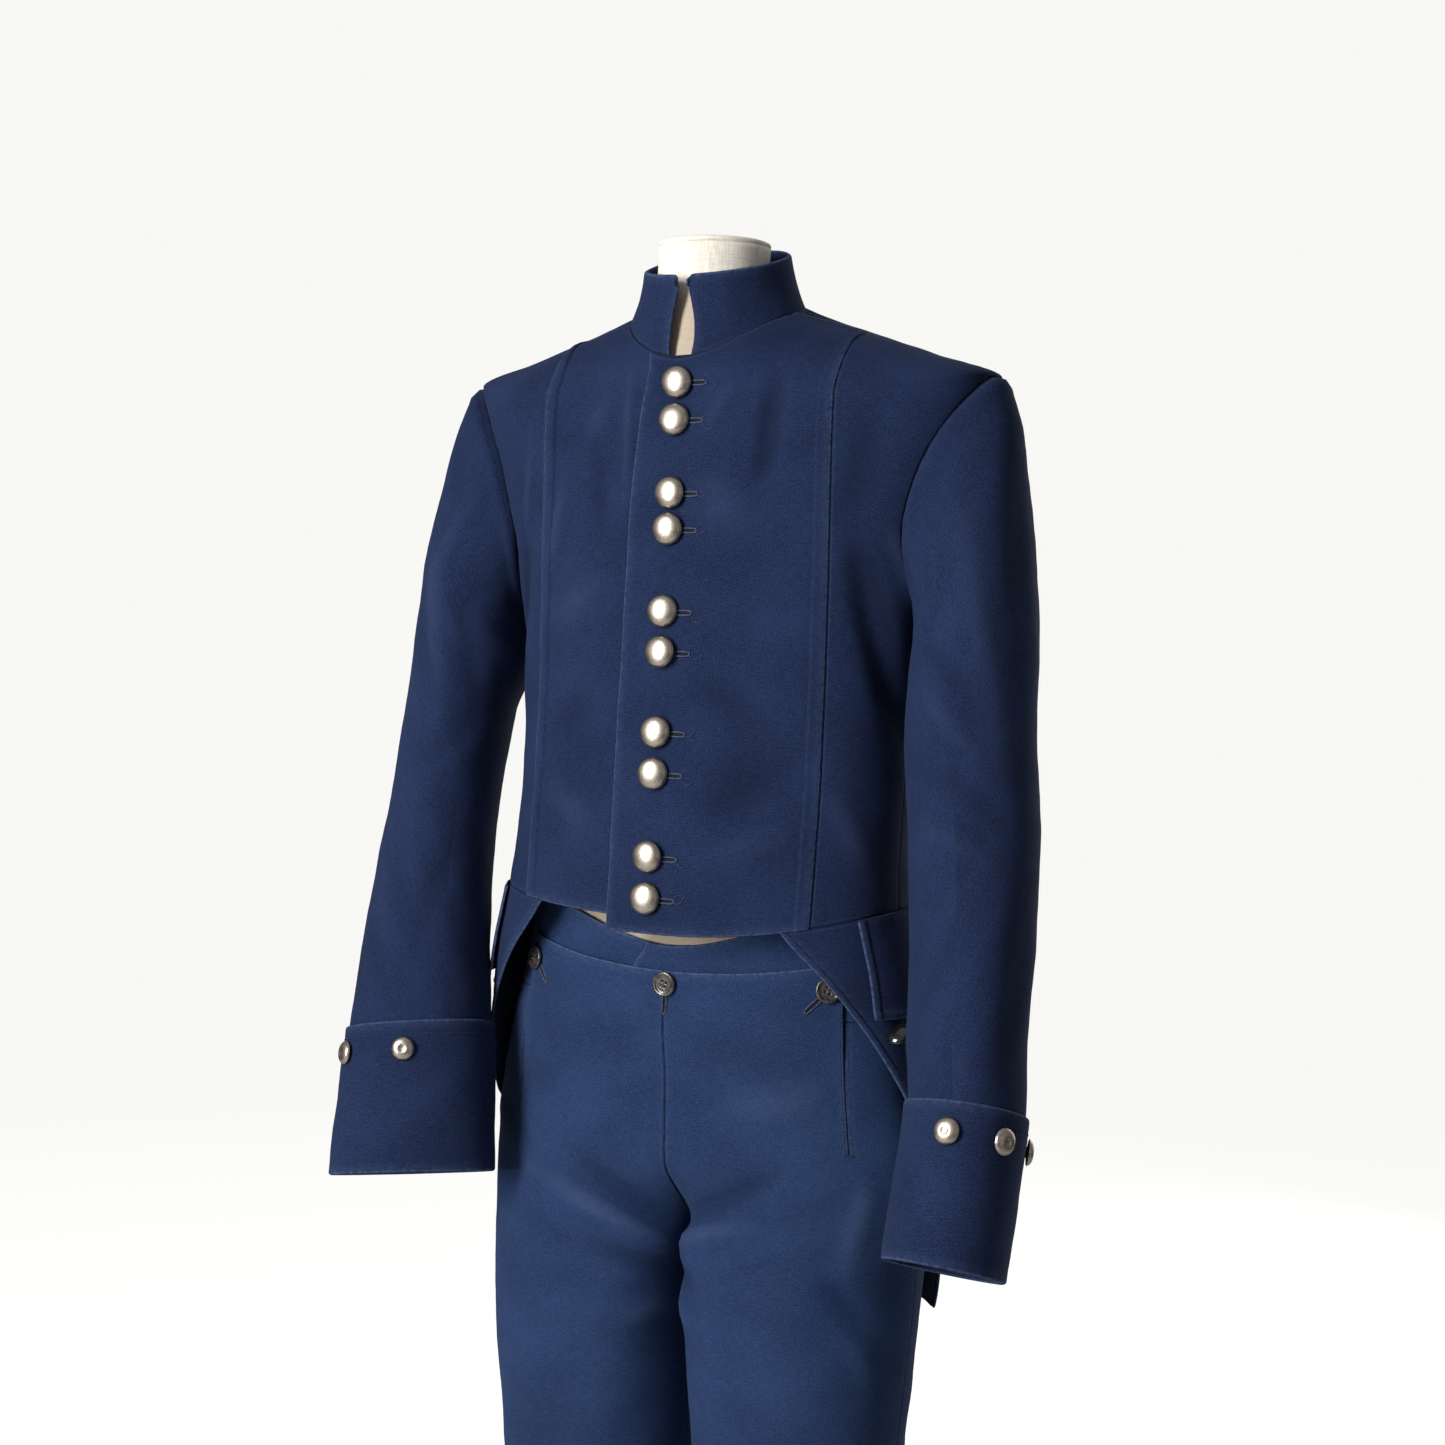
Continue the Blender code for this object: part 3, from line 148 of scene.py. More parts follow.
TAIL = (
    TailRow(0.736, 0.196, -0.095, -0.008, 0.138, 2.2, 119),
    TailRow(0.780, 0.197, -0.100, -0.012, 0.141, 2.2, 112),
    TailRow(0.850, 0.198, -0.104, -0.016, 0.143, 2.2, 98),
    TailRow(0.916, 0.195, -0.108, -0.020, 0.139, 2.2, 81),
    TailRow(0.975, 0.190, -0.111, -0.024, 0.128, 2.2, 63),
    TailRow(1.015, 0.186, -0.114, -0.026, 0.115, 2.2, 50),
    TailRow(1.072, 0.172, -0.116, -0.026, 0.098, 2.25, 36),
)
TAIL_EASE_FOOT = 1.0
HipRow = namedtuple("HipRow", "z half_width fore_y side_y back_y square")
HIPS = (
    HipRow(0.780, 0.1880, -0.076, -0.018, 0.104, 2.3),
    HipRow(0.840, 0.1900, -0.079, -0.018, 0.112, 2.3),
    HipRow(0.883, 0.1880, -0.081, -0.016, 0.113, 2.3),
    HipRow(0.940, 0.1810, -0.083, -0.015, 0.108, 2.3),
    HipRow(0.985, 0.1710, -0.084, -0.013, 0.098, 2.25),
    HipRow(1.016, 0.1630, -0.084, -0.012, 0.091, 2.25),
    HipRow(1.065, 0.1560, -0.086, -0.012, 0.086, 2.25),
)
LegRow = namedtuple("LegRow", "z centre_x centre_y half_wide half_deep")
LEGS = (
    LegRow(0.050, 0.0980, 0.010, 0.0690, 0.0740),
    LegRow(0.250, 0.0980, 0.002, 0.0710, 0.0755),
    LegRow(0.450, 0.0985, -0.005, 0.0735, 0.0780),
    LegRow(0.600, 0.0985, -0.0095, 0.0755, 0.0810),
    LegRow(0.700, 0.0990, -0.012, 0.0835, 0.0870),
    LegRow(0.780, 0.0940, -0.008, 0.0937, 0.0900),
)
GapRow = namedtuple("GapRow", "share half_gap")
COLLAR_GAP = (
    GapRow(0.00, 0.0100), GapRow(0.25, 0.0112), GapRow(0.50, 0.0100), GapRow(0.75, 0.0070),
    GapRow(0.92, 0.0050), GapRow(1.00, 0.0052),
)
FlapRow = namedtuple("FlapRow", "level x")
FLAP_EDGE = (
    FlapRow(1.072, -0.0355), FlapRow(1.20, -0.0370), FlapRow(1.36, -0.0370),
    FlapRow(1.47, -0.0320), FlapRow(1.532, -0.0260),
)

# Creases: from one place on a surface to another, with the half-width and the height in metres
Crease = namedtuple("Crease", "across_0 up_0 across_1 up_1 width height")
COAT_CREASES = {
    1: (Crease(0.082, 1.516, 0.074, 1.400, 0.009, -0.0050),
        Crease(0.050, 1.500, 0.022, 1.450, 0.007, 0.0022),
        Crease(0.156, 1.470, 0.142, 1.370, 0.016, -0.0034),
        Crease(0.030, 1.420, 0.085, 1.330, 0.020, 0.0032),
        Crease(0.046, 1.390, 0.100, 1.300, 0.016, -0.0024),
        Crease(0.146, 1.360, 0.172, 1.200, 0.013, -0.0080),
        Crease(0.168, 1.372, 0.184, 1.290, 0.009, 0.0040),
        Crease(0.020, 1.250, 0.105, 1.210, 0.018, -0.0028),
        Crease(0.040, 1.150, 0.115, 1.190, 0.018, -0.0028),
        Crease(0.050, 1.125, 0.112, 1.140, 0.014, 0.0020),
        Crease(0.135, 1.170, 0.160, 1.105, 0.013, 0.0032)),
    -1: (Crease(0.046, 1.526, 0.043, 1.385, 0.005, 0.0030),
         Crease(0.060, 1.500, 0.084, 1.435, 0.009, 0.0022),
         Crease(0.072, 1.440, 0.066, 1.350, 0.011, -0.0030),
         Crease(0.103, 1.420, 0.121, 1.315, 0.007, 0.0026),
         Crease(0.143, 1.442, 0.149, 1.355, 0.005, 0.0026),
         Crease(0.150, 1.360, 0.170, 1.250, 0.011, -0.0050),
         Crease(0.055, 1.330, 0.112, 1.285, 0.016, 0.0022),
         Crease(0.060, 1.240, 0.115, 1.195, 0.018, -0.0026),
         Crease(0.050, 1.130, 0.115, 1.160, 0.016, 0.0024)),
}
BACK_CREASES = {
    1: (Crease(0.150, 1.420, 0.090, 1.330, 0.016, -0.0030),
        Crease(0.120, 1.200, 0.050, 1.160, 0.018, -0.0020),
        Crease(0.130, 1.150, 0.040, 1.110, 0.016, 0.0018)),
    -1: (Crease(0.160, 1.400, 0.100, 1.300, 0.015, -0.0028),
         Crease(0.100, 1.230, 0.040, 1.180, 0.018, 0.0018),
         Crease(0.140, 1.140, 0.060, 1.120, 0.014, -0.0020)),
}
SLEEVE_CREASES = {
    1: (Crease(62, 0.030, 66, 0.250, 0.012, 0.0022), Crease(120, 0.110, 70, 0.190, 0.012, -0.0030),
        Crease(125, 0.150, 80, 0.240, 0.010, 0.0020), Crease(10, 0.040, 20, 0.160, 0.014, -0.0018),
        Crease(-30, 0.030, -30, 0.420, 0.011, 0.0026), Crease(-52, 0.030, -52, 0.430, 0.014, -0.0040),
        Crease(150, 0.220, 60, 0.275, 0.012, -0.0026), Crease(160, 0.265, 70, 0.310, 0.010, 0.0018),
        Crease(40, 0.330, 60, 0.450, 0.014, -0.0018), Crease(-60, 0.120, -130, 0.180, 0.014, -0.0026),
        Crease(-70, 0.260, -120, 0.300, 0.012, -0.0024)),
    -1: (Crease(70, 0.020, 82, 0.230, 0.011, 0.0026), Crease(48, 0.050, 60, 0.200, 0.010, -0.0016),
         Crease(110, 0.060, 118, 0.200, 0.011, -0.0026), Crease(130, 0.200, 60, 0.260, 0.013, -0.0024),
         Crease(30, 0.280, 60, 0.420, 0.014, 0.0016), Crease(110, 0.330, 80, 0.450, 0.012, -0.0018),
         Crease(-60, 0.110, -130, 0.170, 0.014, -0.0028), Crease(-80, 0.250, -130, 0.300, 0.012, 0.0020)),
}
LEG_CREASES = {
    1: (Crease(0.02, 0.806, 0.34, 0.868, 0.009, -0.0044), Crease(0.03, 0.790, 0.40, 0.822, 0.009, 0.0042),
        Crease(0.04, 0.775, 0.36, 0.772, 0.010, -0.0048), Crease(0.04, 0.752, 0.30, 0.738, 0.010, 0.0030),
        Crease(0.10, 0.905, 0.50, 0.935, 0.018, 0.0026),
        Crease(0.66, 0.800, 0.80, 0.740, 0.010, -0.0036), Crease(0.70, 0.770, 0.86, 0.700, 0.010, 0.0032),
        Crease(0.62, 0.870, 0.76, 0.790, 0.010, 0.0036), Crease(0.20, 0.640, 0.45, 0.600, 0.018, -0.0030),
        Crease(0.30, 0.420, 0.60, 0.400, 0.020, -0.0030)),
    -1: (Crease(0.02, 0.806, 0.30, 0.858, 0.009, -0.0044), Crease(0.05, 0.786, 0.55, 0.842, 0.009, 0.0044),
         Crease(0.45, 0.842, 0.88, 0.888, 0.010, 0.0030), Crease(0.06, 0.768, 0.46, 0.796, 0.010, -0.0044),
         Crease(0.04, 0.745, 0.30, 0.735, 0.010, 0.0032), Crease(0.30, 0.920, 0.62, 0.900, 0.020, -0.0024),
         Crease(0.25, 0.610, 0.52, 0.570, 0.018, 0.0022), Crease(0.35, 0.400, 0.62, 0.430, 0.020, -0.0030)),
}
SEAT_CREASES = {
    1: (Crease(0.95, 0.800, 0.62, 0.850, 0.014, -0.0036), Crease(0.96, 0.775, 0.60, 0.790, 0.014, 0.0030),
        Crease(0.40, 0.420, 0.75, 0.400, 0.020, -0.0034)),
    -1: (Crease(0.95, 0.806, 0.64, 0.870, 0.014, -0.0032), Crease(0.96, 0.780, 0.58, 0.770, 0.014, 0.0030),
         Crease(0.42, 0.400, 0.72, 0.430, 0.020, -0.0034)),
}
TAIL_CREASES = {
    1: (Crease(78, 1.040, 100, 0.860, 0.014, -0.0026), Crease(70, 0.990, 92, 0.880, 0.012, 0.0022),
        Crease(120, 1.030, 128, 0.800, 0.018, 0.0030), Crease(146, 1.030, 150, 0.800, 0.018, -0.0030)),
    -1: (Crease(74, 1.040, 98, 0.870, 0.014, -0.0026), Crease(125, 1.020, 132, 0.810, 0.018, 0.0028),
         Crease(150, 1.040, 154, 0.790, 0.016, -0.0028)),
}


def blend(low, high, share):
    return low + (high - low) * share


def ease(share):
    share = np.clip(share, 0.0, 1.0)
    return share * share * (3.0 - 2.0 * share)


class Curves:
    """The columns of a table, read as smooth curves of its first column that never overshoot."""

    def __init__(self, rows):
        self.keys = np.array([row[0] for row in rows], float)
        self.columns = {}
        for index, name in enumerate(rows[0]._fields):
            values = np.array([row[index] for row in rows], float)
            rises = np.diff(values) / np.diff(self.keys)
            before = rises[:-1]
            after = rises[1:]
            total = np.where(before + after == 0, 1.0, before + after)
            middle = np.where(before * after > 0, 2 * before * after / total, 0.0)
            self.columns[name] = (values, np.concatenate(([rises[0]], middle, [rises[-1]])))

    def read(self, name, key):
        values, slopes = self.columns[name]
        key = np.clip(key, self.keys[0], self.keys[-1])
        i = np.clip(np.searchsorted(self.keys, key, side="left") - 1, 0, len(self.keys) - 2)
        span = self.keys[i + 1] - self.keys[i]
        t = (key - self.keys[i]) / span
        low = (1 + 2 * t) * (1 - t) ** 2 * values[i] + t * (1 - t) ** 2 * span * slopes[i]
        high = t * t * (3 - 2 * t) * values[i + 1] + t * t * (t - 1) * span * slopes[i + 1]
        return low + high


COAT_CURVES = Curves(COAT)
TAIL_CURVES = Curves(TAIL)
HIP_CURVES = Curves(HIPS)
LEG_CURVES = Curves(LEGS)
GAP_CURVES = Curves(COLLAR_GAP)
FLAP_CURVES = Curves(FLAP_EDGE)
SLEEVE_CURVES = {1: Curves(SLEEVE_LEFT), -1: Curves(SLEEVE_RIGHT)}


def points(x, y, z):
    return np.stack(np.broadcast_arrays(x, y, z), axis=-1)


def unit(vectors):
    return vectors / np.maximum(np.linalg.norm(vectors, axis=-1, keepdims=True), 1e-9)


def ring_points(curves, angle, key, fore_z, side_z, back_z):
    """Points of a rounded ring: 0 is centre front, a quarter turn the side, half a turn the back."""
    power = 2.0 / curves.read("square", key)
    side = np.sin(angle)
    fore = np.cos(angle)
    x = curves.read("half_width", key) * np.copysign(np.abs(side) ** power, side)
    end_y = np.where(fore > 0, curves.read("fore_y", key), curves.read("back_y", key))
    end_z = np.where(fore > 0, fore_z, back_z)
    share = np.abs(fore) ** power
    return points(x, blend(curves.read("side_y", key), end_y, share), blend(side_z, end_z, fore * fore))


def coat_points(angle, level):
    fore_z = COAT_CURVES.read("fore_z", level)
    return ring_points(COAT_CURVES, angle, level, fore_z, level, COAT_CURVES.read("back_z", level))


def coat_surface(side):
    """The wearer's right front ends higher than the left one, which droops at its free edge."""
    def points_at(angle, level):
        low = 1.0 - ease((level - COAT_HEM) / RIGHT_LIFT_REACH) if side < 0 else 0.0
        lifted = level + RIGHT_HEM_LIFT * np.maximum(np.cos(angle), 0.0) ** 2 * low
        return coat_points(angle, lifted)
    return points_at


def tail_surface(side):
    def points_at(angle, z):
        high = ease((z - TAIL_EASE_FOOT) / (COAT_HEM - TAIL_EASE_FOOT))
        fore_z = z + high * (COAT[0].fore_z - COAT_HEM)
        back_z = z + high * (COAT[0].back_z - COAT_HEM)
        hem = np.full_like(angle, COAT_HEM)
        shift = coat_surface(side)(angle, hem) - coat_points(angle, hem)
        return ring_points(TAIL_CURVES, angle, z, fore_z, z, back_z) + shift * high[..., None]
    return points_at


def hip_points(angle, z):
    return ring_points(HIP_CURVES, angle, z, z, z, z)


SQUARE_LEG_HIGH = 0.700
SQUARE_LEG_LOW = 0.420
SQUARE_LEG_MORE = 1.3


def leg_points(share, z, back):
    """A ring of the leg, squarer on its inner side near the crotch, where the cloth hangs between legs."""
    sign = 1.0 if back else -1.0
    turn = math.pi * share
    across = np.cos(turn) * sign
    fullness = SQUARE_LEG_MORE * ease((z - SQUARE_LEG_LOW) / (SQUARE_LEG_HIGH - SQUARE_LEG_LOW))
    power = 2.0 / (2.0 + fullness * (across < 0))
    wide = np.copysign(np.abs(across) ** power, across)
    deep = np.maximum(np.sin(turn), 0.0) ** power * sign
    x = LEG_CURVES.read("centre_x", z) + LEG_CURVES.read("half_wide", z) * wide
    y = LEG_CURVES.read("centre_y", z) + LEG_CURVES.read("half_deep", z) * deep
    return points(x, y, z)


def trouser_surface(back):
    """A trouser half: rings of the leg that turn into rings of the hips above the crotch."""
    top = CROTCH_TOP_BACK if back else CROTCH_TOP_FORE

    def points_at(share, z):
        high = ease((z - CROTCH) / (top - CROTCH))[..., None]
        angle = QUARTER * (share + 1.0) if back else QUARTER * share
        made = blend(leg_points(share, np.minimum(z, CROTCH), back), hip_points(angle, z), high)
        made[..., 2] = z
        made[..., 0] = np.maximum(made[..., 0], CENTRE_CLEARANCE)
        return made
    return points_at


def normals_of(surface, a, k):
    around = surface(a + NORMAL_STEP, k) - surface(a - NORMAL_STEP, k)
    up = surface(a, k + NORMAL_STEP / 4) - surface(a, k - NORMAL_STEP / 4)
    return unit(np.cross(around, up))


def angle_at_x(curves, x, key):
    share = np.minimum(np.abs(x) / curves.read("half_width", key), 1.0)
    return np.copysign(np.arcsin(share ** (curves.read("square", key) / 2.0)), x)


ARMHOLE_MIDDLE = (ARMPIT + SHOULDER_TIP) / 2
ARMHOLE_HALF = (SHOULDER_TIP - ARMPIT) / 2


def armhole_angle(level, sign):
    height = (level - ARMHOLE_MIDDLE) / ARMHOLE_HALF
    share = np.sqrt(np.maximum(0.0, 1.0 - height * height))
    side_y = COAT_CURVES.read("side_y", level)
    end_y = np.where(sign > 0, COAT_CURVES.read("fore_y", level), COAT_CURVES.read("back_y", level))
    reach = np.where(sign > 0, ARMHOLE_FORE_REACH, ARMHOLE_BACK_REACH)
    power = COAT_CURVES.read("square", level) / 2.0
    swing = np.arccos((reach * share / np.abs(end_y - side_y)) ** power)
    return np.where(sign > 0, swing, math.pi - swing)


def armhole_points(phi):
    level = ARMHOLE_MIDDLE + ARMHOLE_HALF * np.cos(phi)
    return coat_points(armhole_angle(level, np.where(np.sin(phi) >= 0, 1, -1)), level)


def sleeve_ring(side, phi, along):
    read = SLEEVE_CURVES[side].read
    lean = np.radians(read("lean", along))
    turn = np.radians(read("turn", along))
    rise = np.radians(read("fore_up", along))
    outward = points(np.cos(lean) * np.cos(turn), -np.cos(lean) * np.sin(turn), np.sin(lean))
    forward = points(-np.sin(turn) * np.cos(rise), -np.cos(turn) * np.cos(rise), np.sin(rise))
    centre = points(read("centre_x", along), read("centre_y", along), read("centre_z", along))
    wide = (read("half_wide", along) * np.cos(phi))[..., None]
    deep = (read("half_deep", along) * np.sin(phi))[..., None]
    return centre + outward * wide + forward * deep


def sleeve_surface(side):
    def points_at(phi, along):
        fade = (1.0 - ease(along / SHOULDER_ROWS[-1].along))[..., None]
        seat = armhole_points(phi) - sleeve_ring(side, phi, np.zeros_like(along))
        return sleeve_ring(side, phi, along) + seat * fade
    return points_at


COLLAR_TOP_RADIUS = 0.0585
COLLAR_TOP_Y = -0.0265
COLLAR_TOP_FORE = 1.5575
COLLAR_TOP_BACK = 1.592
COLLAR_HOLLOW = 0.002
COLLAR_BASE_GAP = 0.0004


def collar_points(angle, share):
    base = coat_points(angle, np.full_like(angle, NECK_SEAM))
    base[..., 2] += COLLAR_BASE_GAP
    top = points(COLLAR_TOP_RADIUS * np.sin(angle), COLLAR_TOP_Y - COLLAR_TOP_RADIUS * np.cos(angle),
                 blend(COLLAR_TOP_FORE, COLLAR_TOP_BACK, (1.0 - np.cos(angle)) / 2.0))
    made = base + (top - base) * share[..., None]
    hollow = COLLAR_HOLLOW * np.sin(math.pi * share)
    made[..., 0] -= hollow * np.sin(angle)
    made[..., 1] += hollow * np.cos(angle)
    return made


def unevenness(p):
    """Slow swells of the cloth, a fraction of a millimetre high, the same on every run."""
    x, y, z = p[..., 0], p[..., 1], p[..., 2]
    return 0.0005 * (np.sin(71 * x + 33 * y + 19 * z) * np.sin(23 * x - 47 * y + 61 * z + 1.3)
                     + 0.5 * np.sin(121 * z + 31 * x + 2.1) * np.sin(87 * x - 59 * y + 0.7)
                     + 0.22 * np.sin(310 * z + 90 * x) * np.sin(260 * x + 120 * y + 41 * z))


def crease_heights(p, creases, place):
    """Soft troughs and ridges that follow lines on a surface and die out at their ends."""
    total = np.zeros(p.shape[:-1])
    steps = np.linspace(0, 1, 121)
    for index, crease in enumerate(creases):
        sway = np.sin(steps * 5.0 + index) * 0.04
        across = blend(crease.across_0, crease.across_1, steps + sway)
        line = place(across, blend(crease.up_0, crease.up_1, steps))
        gaps = np.linalg.norm(p[..., None, :] - line, axis=-1)
        nearest = gaps.min(axis=-1)
        at = steps[gaps.argmin(axis=-1)]
        taper = np.sin(math.pi * (0.04 + 0.92 * at)) ** 0.8
        total += crease.height * np.exp(-(nearest / crease.width) ** 2) * taper
    return total


Edge = namedtuple("Edge", "kind band height")
FOLD = Edge("fold", 0.0, 0.0)
SEAM = Edge("seam", 0.0, 0.0)
CREST_HEIGHT = 0.004
BANDED = Edge("fold", 0.0052, 0.0010)


class Cloth:
    """A panel of cloth as grids of points: its outer face, its arcs and its distances to its edges."""

    def __init__(self, surface, a, k, rise=0.0, creases=(), place=None, edges=None):
        base = surface(a, k)
        self.base = base
        self.normal = normals_of(surface, a, k)
        across = np.linalg.norm(np.diff(base, axis=1), axis=-1)
        self.s = np.concatenate([np.zeros((base.shape[0], 1)), np.cumsum(across, axis=1)], axis=1)
        up = np.linalg.norm(np.diff(base, axis=0), axis=-1)
        self.t = np.concatenate([np.zeros((1, base.shape[1])), np.cumsum(up, axis=0)], axis=0)
        self.gaps = {"first": self.s, "last": self.s[:, -1:] - self.s,
                     "low": self.t, "high": self.t[-1:, :] - self.t}
        self.fold = np.full(base.shape[:-1], 1.0)
        self.groove = np.full(base.shape[:-1], 1.0)
        self.crest = np.zeros(base.shape[:-1])
        lift = unevenness(base) + (rise(self) if callable(rise) else rise)
        if creases:
            heights = crease_heights(base, creases, place)
            self.crest = np.clip(heights / CREST_HEIGHT, -1.0, 1.0)
            lift = lift + heights
        for name, edge in (edges or {}).items():
            gap = self.gaps[name]
            if edge.kind == "seam":
                lift = lift - 0.0005 * np.exp(-(gap / 0.0013) ** 1.5)
                self.groove = np.minimum(self.groove, gap)
                pucker = 0.00022 * np.sin((self.t if name in ("first", "last") else self.s) * 420)
                lift = lift + pucker * np.exp(-gap / 0.005)
            else:
                self.fold = np.minimum(self.fold, gap)
                lift = lift - 0.0004 * np.exp(-(gap / 0.0008) ** 2)
            if edge.band:
                lift = lift + edge.height * (1 - ease((gap - edge.band + 0.0008) / 0.0016))
                self.fold = np.minimum(self.fold, np.abs(gap - edge.band) + 0.0007)
        self.outer = base + self.normal * lift[..., None]

    def line(self, name, gap, lift=0.0002):
        """Points and normals of a line that keeps its distance from one border."""
        along_rows = name in ("first", "last")
        gaps = self.gaps[name] if along_rows else self.gaps[name].T
        outer = self.outer if along_rows else self.outer.transpose(1, 0, 2)
        normal = self.normal if along_rows else self.normal.transpose(1, 0, 2)
        order = 1 if name in ("first", "low") else -1
        made = []
        facing = []
        for row in range(gaps.shape[0]):
            wanted = gaps[row][::order]
            made.append([np.interp(gap, wanted, outer[row, ::order, i]) for i in range(3)])
            facing.append([np.interp(gap, wanted, normal[row, ::order, i]) for i in range(3)])
        facing = unit(np.array(facing))
        return np.array(made) + facing * lift, facing

    def cut(self, closed=False):
        """Flat width and length of the panel's outer face, all the way round on a closed one."""
        last_step = np.linalg.norm(self.base[:, 0] - self.base[:, -1], axis=-1) if closed else 0.0
        return float((self.s[:, -1] + last_step).max()), float(self.t[-1].max())

    def area(self, closed=False, keep=None):
        outer = np.concatenate([self.outer, self.outer[:, :1]], axis=1) if closed else self.outer
        one = outer[1:, 1:] - outer[:-1, :-1]
        other = outer[1:, :-1] - outer[:-1, 1:]
        cells = np.linalg.norm(np.cross(one, other), axis=-1) / 2
        return float((cells if keep is None else cells[keep]).sum())


def build_mesh(name, vertices, faces, material, uv=None, attributes=None):
    mesh = bpy.data.meshes.new(name)
    mesh.from_pydata([tuple(v) for v in vertices], [], faces)
    if uv is not None:
        layer = mesh.uv_layers.new(name="cloth")
        layer.data.foreach_set("uv", np.asarray(uv, np.float32).ravel())
    for key, values in (attributes or {}).items():
        made = mesh.attributes.new(key, "FLOAT", "POINT")
        made.data.foreach_set("value", np.asarray(values, np.float32))
    mesh.shade_smooth()
    mesh.materials.append(material)
    piece = bpy.data.objects.new(name, mesh)
    bpy.context.scene.collection.objects.link(piece)
    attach(piece, "root")
    return piece


def cloth_mesh(name, cloth, wall, material, side=1, closed=False, keep=None, origin=0, turned=0.45):
    """A closed wall of cloth with rounded edges; its UVs are metres along the weft and the warp."""
    outer = cloth.outer
    wall_points = outer - cloth.normal * np.broadcast_to(wall, outer.shape[:2])[..., None]
    rows, columns = outer.shape[:2]
    wrap = columns if closed else columns - 1
    flip = np.array([side, 1.0, 1.0])
    vertices = list((outer * flip).reshape(-1, 3)) + list((wall_points * flip).reshape(-1, 3))
    fold = list(cloth.fold.ravel()) * 2
    groove = list(cloth.groove.ravel()) * 2
    crest = list(cloth.crest.ravel()) * 2
    half = rows * columns
    kept = np.ones((rows - 1, wrap), bool)
    if keep is not None:
        kept &= keep
    u = cloth.s - cloth.s[:, origin:origin + 1]
    v = cloth.t
    faces = []
    uv = []

    def add_face(corners, flats):
        order = range(len(corners)) if side > 0 else range(len(corners) - 1, -1, -1)
        faces.append([corners[i] for i in order])
        uv.extend(flats[i] for i in order)

    rims = {}

    def rim(r, c, away):
        if (r, c) not in rims:
            middle = (outer[r, c] + wall_points[r, c]) / 2
            thick = np.linalg.norm(outer[r, c] - wall_points[r, c])
            rims[(r, c)] = len(vertices)
            vertices.append((middle + away * thick * turned) * flip)
            fold.append(float(cloth.fold[r, c]))
            groove.append(float(cloth.groove[r, c]))
            crest.append(float(cloth.crest[r, c]))
        return rims[(r, c)]

    def beyond(r, c, r2, c2):
        away = outer[r, c] - outer[r2, c2 % columns]
        return away / max(np.linalg.norm(away), 1e-9)

    for r in range(rows - 1):
        for c in range(wrap):
            if not kept[r, c]:
                continue
            ring = ((r, c), (r, c + 1), (r + 1, c + 1), (r + 1, c))
            flats = []
            for rr, cc in ring:
                over = cc >= columns
                step = cloth.s[rr, -1] - cloth.s[rr, -2] if over else 0.0
                flats.append((u[rr, cc - over] + step, v[rr, cc % columns]))
            numbers = [rr * columns + cc % columns for rr, cc in ring]
            add_face(numbers, flats)
            add_face([half + n for n in reversed(numbers)], flats[::-1])
            beside = ((r - 1, c), (r, c + 1), (r + 1, c), (r, c - 1))
            inward = ((1, 0), (0, -1), (-1, 0), (0, 1))
            for k, (nr, nc) in enumerate(beside):
                if closed:
                    nc %= columns
                if 0 <= nr < rows - 1 and 0 <= nc < wrap and kept[nr, nc]:
                    continue
                (ra, ca), (rb, cb) = ring[k], ring[(k + 1) % 4]
                dr, dc = inward[k]
                a = ra * columns + ca % columns
                b = rb * columns + cb % columns
                ma = rim(ra, ca % columns, beyond(ra, ca % columns, ra + dr, ca + dc))
                mb = rim(rb, cb % columns, beyond(rb, cb % columns, rb + dr, cb + dc))
                fa, fb = flats[k], flats[(k + 1) % 4]
                add_face([b, a, ma, mb], [fb, fa, fa, fb])
                add_face([mb, ma, half + a, half + b], [fb, fa, fa, fb])
    marks = {"fold": fold, "groove": groove, "crest": crest}
    piece = build_mesh(name, vertices, faces, material, uv, marks)
    return piece


def resampled(line, facing, pitch):
    steps = np.linalg.norm(np.diff(line, axis=0), axis=1)
    run = np.concatenate([[0], np.cumsum(steps)])
    at = np.arange(pitch / 2, run[-1], pitch)
    spots = np.stack([np.interp(at, run, line[:, i]) for i in range(3)], axis=1)
    normals = np.stack([np.interp(at, run, facing[:, i]) for i in range(3)], axis=1)
    ahead = np.stack([np.interp(at + 1e-4, run, line[:, i]) for i in range(3)], axis=1)
    behind = np.stack([np.interp(at - 1e-4, run, line[:, i]) for i in range(3)], axis=1)
    return spots, unit(normals), unit(ahead - behind)


STITCH_PITCH = 0.0030
STITCH_LENGTH = 0.0021
STITCH_RADIUS = 0.00030


